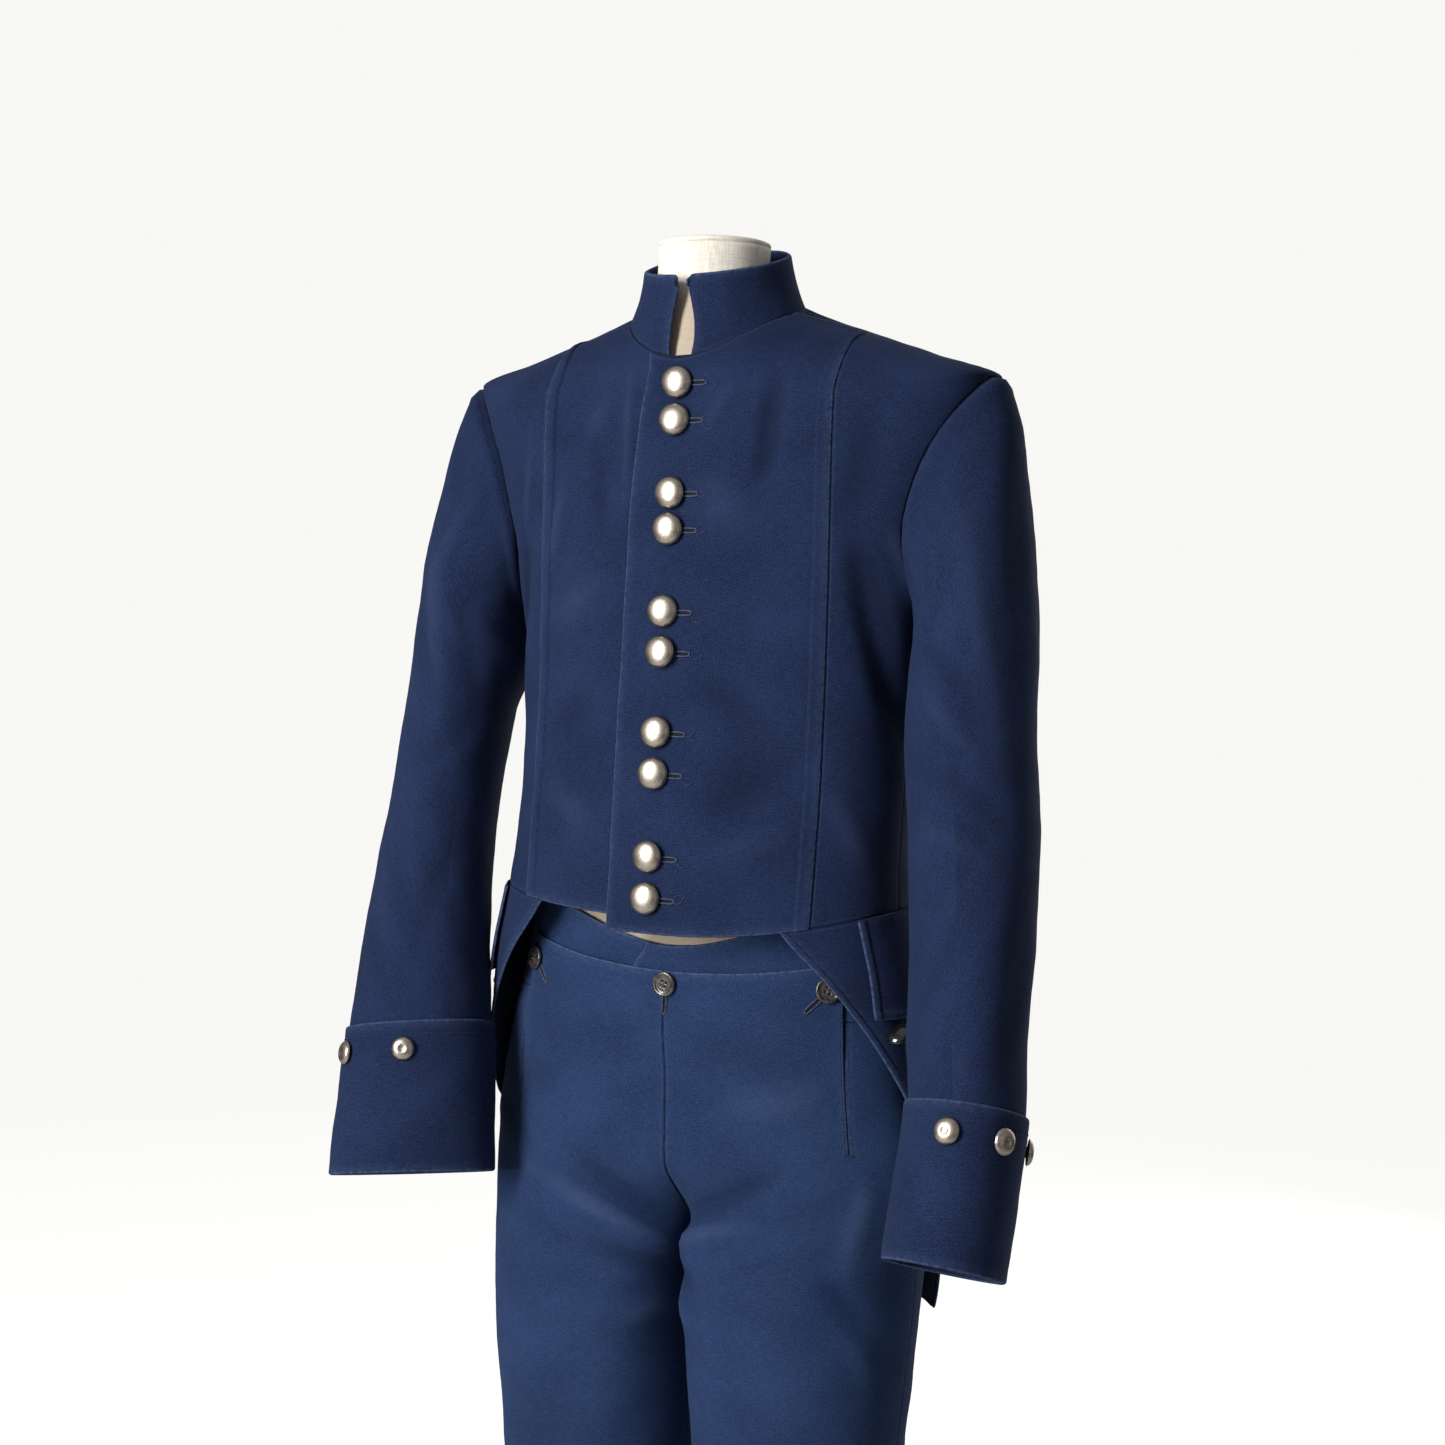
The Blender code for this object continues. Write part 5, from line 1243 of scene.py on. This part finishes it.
def trouser_front(side):
    top_x = FALL_COLUMNS * (FALL_HALF_WIDTH_TOP - SLIT_WIDTH)
    tops = np.concatenate([fall_top(top_x), np.full(len(BEYOND_COLUMNS), WAIST_SEAM - SEAM_GAP)])
    low = np.repeat(LEG_HEIGHTS[:, None], len(tops), axis=1)
    high = SLIT_FOOT + (tops - SLIT_FOOT) * FALL_ROWS[:, None]
    z = np.concatenate([low, high])
    hip_z = np.maximum(z, SLIT_FOOT)
    width = fall_half_width(hip_z)
    fall = angle_at_x(HIP_CURVES, FALL_COLUMNS * (width[:, :SPLIT] - SLIT_WIDTH), hip_z[:, :SPLIT])
    edge = angle_at_x(HIP_CURVES, width[:, SPLIT:], hip_z[:, SPLIT:])
    share = np.concatenate([fall, blend(edge, QUARTER, BEYOND_COLUMNS)], axis=1) / QUARTER

    def rise(cloth):
        made = fall_rise(cloth.base[..., 0], z)
        made[:, SPLIT:] = 0.0
        slit_gap = np.abs(cloth.s - cloth.s[:, SPLIT - 1:SPLIT])
        slit_gap[:, SPLIT:] -= (cloth.s[:, SPLIT] - cloth.s[:, SPLIT - 1])[:, None]
        slit_gap[:SLIT_ROW] = 1.0
        cloth.fold = np.minimum(cloth.fold, slit_gap + 0.0009)
        cloth.fold = np.minimum(cloth.fold, np.where(columns < SPLIT, cloth.t[-1:] - cloth.t, 1.0) + 0.0003)
        # the cloth beyond the slit gets the seams' painted shade
        cloth.groove = np.minimum(cloth.groove, np.where(columns < SPLIT, 1.0, slit_gap))
        return made + inner_leg_rise(cloth.base[:, :1, 0], z, cloth.s)

    columns = np.broadcast_to(np.arange(z.shape[1]), z.shape)
    edges = {"first": SEAM, "last": SEAM, "low": FOLD}
    cloth = Cloth(trouser_surface(False), share, z, rise, LEG_CREASES[side], trouser_place(False), edges)
    keep = np.ones((z.shape[0] - 1, z.shape[1] - 1), bool)
    keep[SLIT_ROW:, SPLIT - 1] = False
    return cloth, keep


def fall_side_lines(cloth):
    """Stitch lines beside the fall's slit, one on the fall and one beyond it."""
    lines = []
    for gap, columns in ((-0.0022, slice(0, SPLIT)), (0.0020, slice(SPLIT, None))):
        made = []
        facing = []
        for row in range(SLIT_ROW, cloth.outer.shape[0]):
            place = cloth.s[row] - cloth.s[row, SPLIT - 1 if gap < 0 else SPLIT]
            made.append([np.interp(gap, place[columns], cloth.outer[row, columns, i]) for i in range(3)])
            facing.append([np.interp(gap, place[columns], cloth.normal[row, columns, i]) for i in range(3)])
        facing = unit(np.array(facing))
        lines.append((np.array(made) + facing * 0.0002, facing))
    return lines


def trouser_back(side):
    high = SLIT_FOOT + (WAIST_SEAM - SEAM_GAP - SLIT_FOOT) * FALL_ROWS
    heights = np.concatenate([LEG_HEIGHTS, high])
    shares = near_steps(0.26, 50)
    share, z = np.meshgrid(shares, heights)

    def rise(cloth):
        return inner_leg_rise(cloth.base[:, -1:, 0], z, cloth.gaps["last"])

    edges = {"first": SEAM, "last": SEAM, "high": SEAM, "low": FOLD}
    return Cloth(trouser_surface(True), share, z, rise, SEAT_CREASES[side], trouser_place(True), edges)


def waistband_top(x):
    share = np.minimum(np.abs(x) / FALL_HALF_WIDTH_TOP, 1.0)
    return blend(WAISTBAND_TOP, WAISTBAND_TOP_SIDE, ease(share))


def waistband_surface(angle, share):
    x = hip_points(np.minimum(angle, QUARTER), np.full_like(angle, WAISTBAND_TOP))[..., 0]
    return hip_points(angle, blend(WAIST_SEAM, waistband_top(x), share))


WAISTBAND_TIP_SLANT = 0.012


def waistband(side):
    near = tuple(gap / 0.05 for gap in NEAR)
    shares = rows_of(0.008, 1.0, 0.10, near, near)
    heights = blend(WAIST_SEAM, WAISTBAND_TOP, shares)
    if side > 0:
        first_x = WAISTBAND_TIP_X + WAISTBAND_TIP_SLANT * ease((shares - 0.55) / 0.45)
    else:
        first_x = np.full_like(heights, -WAISTBAND_UNDER_X)
    first = angle_at_x(HIP_CURVES, first_x, heights)
    a, k = arc_columns(waistband_surface, shares, first, np.full_like(shares, math.pi - 0.001),
                       NEAR, NEAR, 52)

    def rise(cloth):
        x = cloth.base[..., 0]
        near_middle = 1.0 - ease((x - WAISTBAND_UNDER_X) / (WAISTBAND_FADE_X - WAISTBAND_UNDER_X))
        return WAISTBAND_LAP_RISE / 2 * np.where(a < QUARTER, near_middle, 0.0) * side

    edges = {"first": FOLD, "last": SEAM, "high": FOLD, "low": SEAM}
    return Cloth(waistband_surface, a, k, rise, (), None, edges)


BEARER_FOOT = 0.905
BEARER_START_X = 0.002
BEARER_DEPTH = TROUSER_WALL + 0.0012


def bearer():
    heights = rows_of(BEARER_FOOT, WAIST_SEAM - SEAM_GAP, 0.010)
    fall_edge = angle_at_x(HIP_CURVES, fall_half_width(heights), heights)
    first = angle_at_x(HIP_CURVES, np.full_like(heights, BEARER_START_X), heights)
    a, k = arc_columns(hip_points, heights, first, blend(fall_edge, QUARTER, 1 / 3), NEAR, NEAR, 20)
    edges = {"first": SEAM, "low": FOLD, "high": SEAM}
    return Cloth(hip_points, a, k, -BEARER_DEPTH, (), None, edges)


# Form
DepthRow = namedtuple("DepthRow", "key depth")
COAT_DEPTHS = Curves((
    DepthRow(1.115, 0.020), DepthRow(1.160, 0.014), DepthRow(1.255, 0.011), DepthRow(1.345, 0.011),
    DepthRow(1.400, 0.010), DepthRow(1.4557, 0.009), DepthRow(1.476, 0.008), DepthRow(1.483, 0.0080),
    DepthRow(1.493, 0.0065), DepthRow(1.502, 0.0050), DepthRow(1.509, 0.0042),
    DepthRow(1.517, 0.0036), DepthRow(1.5245, 0.0045),
))
HIP_DEPTHS = Curves((
    DepthRow(0.885, 0.014), DepthRow(0.900, 0.010), DepthRow(0.940, 0.009), DepthRow(0.982, 0.009),
    DepthRow(0.996, 0.0036), DepthRow(1.028, 0.0031), DepthRow(1.062, 0.0031),
))
WAIST_FORE_DEPTH = 0.0032
WAIST_FORE_FADE = math.cos(math.radians(68))
NeckRow = namedtuple("NeckRow", "step radius fore_z back_z")
NECK = Curves((
    NeckRow(0, 0.0480, 1.512, 1.546), NeckRow(1, 0.0455, 1.545, 1.560),
    NeckRow(2, 0.0445, 1.568, 1.571), NeckRow(3, 0.0450, NECK_TOP, NECK_TOP),
))
FORM_SIDES = 120


def ring_solid(name, rings, material):
    """A closed solid through rings of points, from the lowest to the highest."""
    count = len(rings[0])
    vertices = [point for ring in rings for point in ring]
    faces = []
    for r in range(len(rings) - 1):
        for c in range(count):
            beside = (c + 1) % count
            faces.append([r * count + c, r * count + beside, (r + 1) * count + beside, (r + 1) * count + c])
    last = (len(rings) - 1) * count
    faces.append(list(range(count))[::-1])
    faces.append([last + c for c in range(count)])
    return build_mesh(name, vertices, faces, material)


def form_torso():
    turns = np.linspace(0, 2 * math.pi, FORM_SIDES, endpoint=False)
    rings = []
    for z in np.linspace(FORM_FOOT, WAISTBAND_TOP_SIDE, 25):
        key = np.full_like(turns, z)
        depth = HIP_DEPTHS.read("depth", z) + np.zeros_like(turns)
        if z >= WAIST_SEAM:
            depth = depth + WAIST_FORE_DEPTH * ease(np.cos(turns) / WAIST_FORE_FADE)
        ring = hip_points(turns, key) - normals_of(hip_points, turns, key) * depth[:, None]
        if z == FORM_FOOT:
            ring[:, 2] = FORM_FOOT
        rings.append(ring)
    for level in np.linspace(COAT[1].side_z, COAT_DEPTHS.keys[-1], 60):
        key = np.full_like(turns, level)
        depth = COAT_DEPTHS.read("depth", level)
        rings.append(coat_points(turns, key) - normals_of(coat_points, turns, key) * depth)
    for step in np.linspace(0, 3, 16):
        radius = NECK.read("radius", step)
        height = blend(NECK.read("fore_z", step), NECK.read("back_z", step), (1 - np.cos(turns)) / 2)
        rings.append(points(NECK_X + radius * np.sin(turns), NECK_Y - radius * np.cos(turns), height))
    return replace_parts(ring_solid("form_body", rings, MATERIALS["calico"]), "form_torso")


CAP_ROWS = ((0.0445, 0.0003), (0.0450, 0.0010), (0.0452, 0.0022), (0.0446, 0.0034), (0.0425, 0.0044),
            (0.0385, 0.0051), (0.0300, 0.0057), (0.0200, 0.0060), (0.0090, 0.0061))


def form_cap():
    cap = lathe("form_neck_top", CAP_ROWS, MATERIALS["calico"],
                (NECK_X, NECK_Y, NECK_TOP), (0, 0, 1), sides=96)
    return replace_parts(cap, "form_neck_cap")


# Buttons
COAT_BUTTON_RADIUS = 0.0126
COAT_BUTTON_HEIGHT = 0.0076
COAT_BUTTON_HEIGHTS = (1.475, 1.4455, 1.389, 1.361, 1.2975, 1.266, 1.204, 1.172, 1.108, 1.076)
CUFF_BUTTON_RADIUS = 0.0095
CUFF_BUTTON_HEIGHT = 0.006
CUFF_BUTTON_DROP = 0.022
CUFF_BUTTON_TURNS = {1: (112, 62, 4), -1: (84, 26, -26)}
FALL_BUTTON_X = {"right": -0.134, "middle": 0.002, "left": 0.130}
FALL_BUTTON_Z = 1.006
FALL_BUTTON_RADIUS = 0.010
FALL_BUTTON_HEIGHT = 0.0038
POCKET_BUTTON_Z = 0.981
POCKET_BUTTON_TURNS = {1: 74, -1: 92}
POCKET_BUTTON_LEAN = (-0.366, -0.568, 0.733)
POCKET_BUTTON_STAND = 0.0055
HOLE_REACH = 0.0018


def dome_rows(radius, height):
    """A domed button from its shank side to the middle of its face, with a rolled rim."""
    rim = ((0.40, 0.0), (0.42, 0.10), (0.90, 0.20), (0.97, 0.24), (1.0, 0.30), (0.995, 0.36), (0.965, 0.41))
    rows = [(radius * r, height * h) for r, h in rim]
    for turn in np.linspace(0.10, 0.97, 13) * QUARTER:
        rows.append((radius * 0.955 * math.cos(turn), height * (0.40 + 0.60 * math.sin(turn))))
    return rows


def disc_rows(radius, height):
    """A turned horn button with a raised rim and a flat well."""
    shape = ((0.50, 0.0), (0.86, 0.16), (0.97, 0.36), (1.0, 0.58), (0.98, 0.82), (0.92, 0.97), (0.85, 1.0),
             (0.77, 0.95), (0.70, 0.80))
    rows = [(radius * r, height * h) for r, h in shape]
    return rows + [(radius * r, height * 0.76) for r in np.linspace(0.64, 0.02, 16)]


def seated(cloth, side, spot, normal):
    """The spot moved along the normal to the cloth's displaced face."""
    outer = (cloth.outer * np.array([side, 1.0, 1.0])).reshape(-1, 3)
    nearest = outer[np.linalg.norm(outer - spot, axis=1).argmin()]
    return spot + normal * (float(np.dot(nearest - spot, normal)) + SEAM_GAP / 2)


def spot_on(surface, a, k):
    """Point and outward normal of a surface at one place."""
    at = np.array([float(a)])
    key = np.array([float(k)])
    return surface(at, key)[0], normals_of(surface, at, key)[0]


def level_of_height(z):
    levels = np.linspace(COAT_HEM, NECK_SEAM, 2000)
    return float(np.interp(z, COAT_CURVES.read("fore_z", levels), levels))


def coat_buttons(cloth):
    """Ten domes in five pairs, each leaning a little its own way over the end of a sewn hole."""
    for index, z in enumerate(COAT_BUTTON_HEIGHTS):
        level = level_of_height(z)
        spot, normal = spot_on(coat_points, 0.0, level)
        seat = seated(cloth, 1, spot + normal * LAP_RISE, normal)
        rows = dome_rows(COAT_BUTTON_RADIUS, COAT_BUTTON_HEIGHT)
        lean = np.array([0.05 + 0.06 * math.sin(index * 2.1), 0.0, 0.06 * math.sin(index * 1.3 + 1.0)])
        dome = lathe(f"coat_dome_{index + 1:02d}", rows, MATERIALS["metal"],
                     seat + normal * COAT_BUTTON_RADIUS * 0.12, normal + lean)
        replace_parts(dome, f"coat_button_{index + 1:02d}")
        ends = []
        for x in (0.0105, 0.0240):
            at, facing = spot_on(coat_points, angle_at_x(COAT_CURVES, x, level), level - 0.001)
            ends.append(seated(cloth, 1, at + facing * LAP_RISE, facing))
        curls = ((0.004, 0.012, 0.5 * math.sin(index * 1.9)), (-0.003, 0.008, -0.6 + 0.3 * math.sin(index)))
        buttonhole(f"coat_hole_{index + 1:02d}", ends[0], ends[1], facing, curls[:1 + index % 2])


def cuff_buttons(cloth, side, word):
    for index, turn in enumerate(CUFF_BUTTON_TURNS[side]):
        spot, normal = spot_on(sleeve_surface(side), math.radians(turn), CUFF_START + CUFF_BUTTON_DROP)
        flip = np.array([side, 1.0, 1.0])
        spot = spot * flip
        normal = normal * flip
        seat = seated(cloth, side, spot + normal * (CUFF_RISE + CUFF_WALL), normal)
        rows = dome_rows(CUFF_BUTTON_RADIUS, CUFF_BUTTON_HEIGHT)
        dome = lathe(f"cuff_dome_{word}_{index + 1}", rows, MATERIALS["metal"], seat, normal,
                     pits=((0.0, 0.0, 0.0028, 0.0010),))
        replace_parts(dome, f"cuff_button_{word}_{index + 1}")


def fall_buttons(cloths):
    holes = [(HOLE_REACH * x, HOLE_REACH * y, 0.00085, 0.0016) for x in (-1, 1) for y in (-1, 1)]
    for word, x in FALL_BUTTON_X.items():
        side = 1 if x > 0 else -1
        z = FALL_BUTTON_Z + (0.004 if word != "middle" else 0.0)
        spot, normal = spot_on(hip_points, angle_at_x(HIP_CURVES, x, z), z)
        seat = seated(cloths[side], side, spot + normal * fall_rise(x, z), normal)
        rows = disc_rows(FALL_BUTTON_RADIUS, FALL_BUTTON_HEIGHT)
        disc = lathe(f"fall_disc_{word}", rows, MATERIALS["horn"], seat, normal, pits=holes)
        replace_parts(disc, f"fall_button_{word}")


HoleRow = namedtuple("HoleRow", "x_0 z_0 x_1 z_1")
FALL_HOLES = {
    "middle": HoleRow(0.0022, 1.0010, 0.0012, 0.9820),
    "left": HoleRow(0.1275, 1.0060, 0.1150, 0.9920),
    "right": HoleRow(-0.1300, 1.0060, -0.1180, 0.9920),
}


def fall_holes(cloths):
    for word, row in FALL_HOLES.items():
        side = 1 if row.x_0 > 0 else -1
        ends = []
        for x, z in ((row.x_0, row.z_0), (row.x_1, row.z_1)):
            spot, normal = spot_on(hip_points, angle_at_x(HIP_CURVES, x, z), z)
            ends.append(seated(cloths[side], side, spot + normal * fall_rise(x, z), normal))
        buttonhole(f"fall_hole_{word}", ends[0], ends[1], normal)


def pocket_button(side, word):
    """A glossy dome that stands almost on its edge below the flap."""
    turn = math.radians(POCKET_BUTTON_TURNS[side])
    spot, normal = spot_on(tail_surface(side), turn, POCKET_BUTTON_Z)
    flip = np.array([side, 1.0, 1.0])
    tilted = unit(0.45 * normal + np.array(POCKET_BUTTON_LEAN)) * flip
    seat = spot * flip + normal * flip * POCKET_BUTTON_STAND
    rows = dome_rows(FALL_BUTTON_RADIUS, 0.0045)
    dome = lathe(f"pocket_dome_{word}", rows, MATERIALS["gloss"], seat, tilted)
    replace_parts(dome, f"pocket_button_{word}")


def tack(name, cloth, side):
    """A short bar of close stitches across the foot of the fall's slit."""
    rows = []
    row = SLIT_ROW
    at = cloth.s[row] - cloth.s[row, SPLIT - 1]
    facing = []
    for gap in np.linspace(-0.0035, 0.0045, 9):
        rows.append([np.interp(gap, at, cloth.outer[row, :, i]) for i in range(3)])
        facing.append([np.interp(gap, at, cloth.normal[row, :, i]) for i in range(3)])
    facing = unit(np.array(facing))
    line = np.array(rows) + facing * 0.0003
    stitches(name, [(line, facing), (line + np.array([0, 0, 0.0008]), facing)], side, pitch=0.0011,
             radius=0.0004)


def dress():
    """Every piece of the costume, and the form below it."""
    coat_cloths = {}
    fall_cloths = {}
    for side, word in ((1, "left"), (-1, "right")):
        front = coat_front(side)
        coat_cloths[side] = front
        lap = stitches(f"lap_stitches_{word}", [front.line("last", 0.0112)], side)
        dressed(f"coat_front_{word}", front, COAT_WALL, side)
        dressed(f"coat_side_{word}", coat_side(side), COAT_WALL, side)
        dressed(f"coat_back_{word}", coat_back(side), COAT_WALL, side)
        seam = SLEEVE_SEAM_TURN
        dressed(f"sleeve_{word}_upper", sleeve_piece(side, -seam, seam, 44), COAT_WALL, side)
        dressed(f"sleeve_{word}_under", sleeve_piece(side, seam, 2 * math.pi - seam, 26), COAT_WALL, side)
        cuff_cloth = cuff(side)
        band = stitches(f"cuff_stitches_{word}", [cuff_cloth.line("low", CUFF_STITCH_DROP)], side)
        dressed(f"cuff_{word}", cuff_cloth, CUFF_WALL, side, closed=True)
        cuff_buttons(cuff_cloth, side, word)
        tail_cloth = tail(side)
        dressed(f"tail_{word}", tail_cloth, COAT_WALL, side)
        dressed(f"pocket_flap_{word}", pocket_flap(side), POCKET_WALL, side)
        pocket_button(side, word)
        front, keep = trouser_front(side)
        fall_cloths[side] = front
        edge = stitches(f"fall_stitches_{word}", fall_side_lines(front), side)
        dressed(f"trouser_front_{word}", front, TROUSER_WALL, side, keep=keep, dye="navy_lit_trousers")
        tack(f"fall_tack_{word}", front, side)
        dressed(f"trouser_back_{word}", trouser_back(side), TROUSER_WALL, side, dye="navy_lit_trousers")
        dressed(f"waistband_{word}", waistband(side), WAISTBAND_WALL, side, dye="navy_lit_trousers")
        dressed(f"bearer_{word}", bearer(), TROUSER_WALL, side)
    dressed("collar", collar(), COLLAR_WALL)
    coat_buttons(coat_cloths[1])
    fall_buttons(fall_cloths)
    fall_holes(fall_cloths)
    form_torso()
    form_cap()
    for name in ("stand_pole", "stand_base"):
        bpy.data.objects[name].data.materials.clear()
        bpy.data.objects[name].data.materials.append(MATERIALS["stand"])


# Camera, as it stands in the photograph's viewpoint
CAMERA_TURN = math.radians(28.0)
CAMERA_PITCH = math.radians(3.0)
CAMERA_ROLL = math.radians(1.432)
CAMERA_DISTANCE = 1.87
CAMERA_HEIGHT = 1.306
FOCAL_PIXELS = 2300.0
FRAME_PIXELS = 1445.0
SENSOR = 36.0


def add_camera():
    turn = CAMERA_TURN
    forward = Vector((-math.sin(turn) * math.cos(CAMERA_PITCH), math.cos(turn) * math.cos(CAMERA_PITCH),
                      -math.sin(CAMERA_PITCH)))
    right = Vector((math.cos(turn), math.sin(turn), 0.0))
    up = right.cross(forward)
    rolled_right = right * math.cos(CAMERA_ROLL) + up * math.sin(CAMERA_ROLL)
    rolled_up = up * math.cos(CAMERA_ROLL) - right * math.sin(CAMERA_ROLL)
    data = bpy.data.cameras.new("camera")
    data.sensor_width = SENSOR
    data.lens = FOCAL_PIXELS / FRAME_PIXELS * SENSOR
    data.clip_start = 0.05
    camera = bpy.data.objects.new("camera", data)
    matrix = Matrix((rolled_right, rolled_up, -forward)).transposed().to_4x4()
    matrix.translation = Vector((CAMERA_DISTANCE * math.sin(turn), -CAMERA_DISTANCE * math.cos(turn),
                                 CAMERA_HEIGHT))
    camera.matrix_world = matrix
    bpy.context.scene.collection.objects.link(camera)
    bpy.context.scene.camera = camera


LightRow = namedtuple("LightRow", "name wide high power place aim colour")
LIGHTS = (
    LightRow("key", 0.9, 2.3, 158.0, (-1.1, -3.0, 1.9), (0.0, 0.0, 1.05), (1.0, 1.0, 1.0)),
    LightRow("fill", 2.2, 2.2, 5.0, (3.0, -1.3, 1.4), (0.0, 0.0, 1.1), (0.97, 0.98, 1.0)),
    LightRow("top", 2.6, 2.6, 5.0, (0.2, -0.2, 3.6), (0.0, 0.0, 1.2), (1.0, 1.0, 1.0)),
    LightRow("back", 2.4, 2.4, 34.0, (0.6, 3.2, 1.5), (0.0, 0.0, 1.0), (1.0, 0.99, 0.97)),
)
BACKDROP = (0.94, 0.935, 0.915)
FLOOR_GREY = (0.62, 0.62, 0.61)
FLOOR_GLOW = 0.80
FLOOR_NEAR = 1.0
FLOOR_FAR = 4.5
ROOM_STRENGTH = 0.27
ROOM_LOW = (0.30, 0.25, 0.19)
ROOM_MIDDLE = (0.80, 0.74, 0.66)
ROOM_HIGH = (0.96, 0.97, 1.00)


def floor_material():
    """A pale floor that takes a soft shadow near the stand and is the backdrop's colour far from it."""
    material, tree, shader = shader_of("pale_floor")
    place = node(tree, "ShaderNodeTexCoord").outputs["Object"]
    reach = node(tree, "ShaderNodeVectorMath", operation="LENGTH")
    tree.links.new(place, reach.inputs[0])
    far = ranged(tree, reach.outputs["Value"], FLOOR_NEAR, FLOOR_FAR, 0.0, 1.0)
    tree.links.new(mixed(tree, far, FLOOR_GREY, (0.0, 0.0, 0.0)), shader.inputs["Base Color"])
    shader.inputs["Roughness"].default_value = 0.95
    shader.inputs["Specular IOR Level"].default_value = 0.0
    shader.inputs["Emission Color"].default_value = BACKDROP + (1.0,)
    seen = node(tree, "ShaderNodeLightPath").outputs["Is Camera Ray"]
    glow = ranged(tree, far, 0.0, 1.0, FLOOR_GLOW, 1.0)
    tree.links.new(maths(tree, "MULTIPLY", seen, glow), shader.inputs["Emission Strength"])
    return material


def add_world():
    """A white backdrop for the camera; for light and reflections a dimmer room, darker towards its floor."""
    world = bpy.data.worlds.new("studio")
    world.use_nodes = True
    tree = world.node_tree
    room = tree.nodes["Background"]
    heading = node(tree, "ShaderNodeSeparateXYZ")
    tree.links.new(node(tree, "ShaderNodeTexCoord").outputs["Generated"], heading.inputs[0])
    height = heading.outputs["Z"]
    shade = mixed(tree, ranged(tree, height, -0.35, 0.05, 0.0, 1.0), ROOM_LOW, ROOM_MIDDLE)
    shade = mixed(tree, ranged(tree, height, 0.05, 0.60, 0.0, 1.0), shade, ROOM_HIGH)
    tree.links.new(shade, room.inputs["Color"])
    room.inputs["Strength"].default_value = ROOM_STRENGTH
    seen = node(tree, "ShaderNodeBackground")
    seen.inputs["Color"].default_value = BACKDROP + (1.0,)
    either = node(tree, "ShaderNodeMixShader")
    tree.links.new(node(tree, "ShaderNodeLightPath").outputs["Is Camera Ray"], either.inputs[0])
    tree.links.new(room.outputs[0], either.inputs[1])
    tree.links.new(seen.outputs[0], either.inputs[2])
    tree.links.new(either.outputs[0], tree.nodes["World Output"].inputs["Surface"])
    bpy.context.scene.world = world


FLOOR_HALF = 14.0


def add_studio():
    scene = bpy.context.scene
    for row in LIGHTS:
        data = bpy.data.lights.new(row.name, "AREA")
        data.shape = "RECTANGLE"
        data.size = row.wide
        data.size_y = row.high
        data.energy = row.power
        data.color = row.colour
        light = bpy.data.objects.new(row.name, data)
        light.location = row.place
        light.rotation_euler = (Vector(row.aim) - Vector(row.place)).to_track_quat("-Z", "Y").to_euler()
        scene.collection.objects.link(light)
    mesh = bpy.data.meshes.new("floor")
    corners = [(x * FLOOR_HALF, y * FLOOR_HALF, 0.0) for x, y in ((-1, -1), (1, -1), (1, 1), (-1, 1))]
    mesh.from_pydata(corners, [], [(0, 1, 2, 3)])
    mesh.materials.append(floor_material())
    floor = bpy.data.objects.new("floor", mesh)
    scene.collection.objects.link(floor)
    add_world()
    scene.view_settings.view_transform = "Standard"


dress()
add_camera()
add_studio()
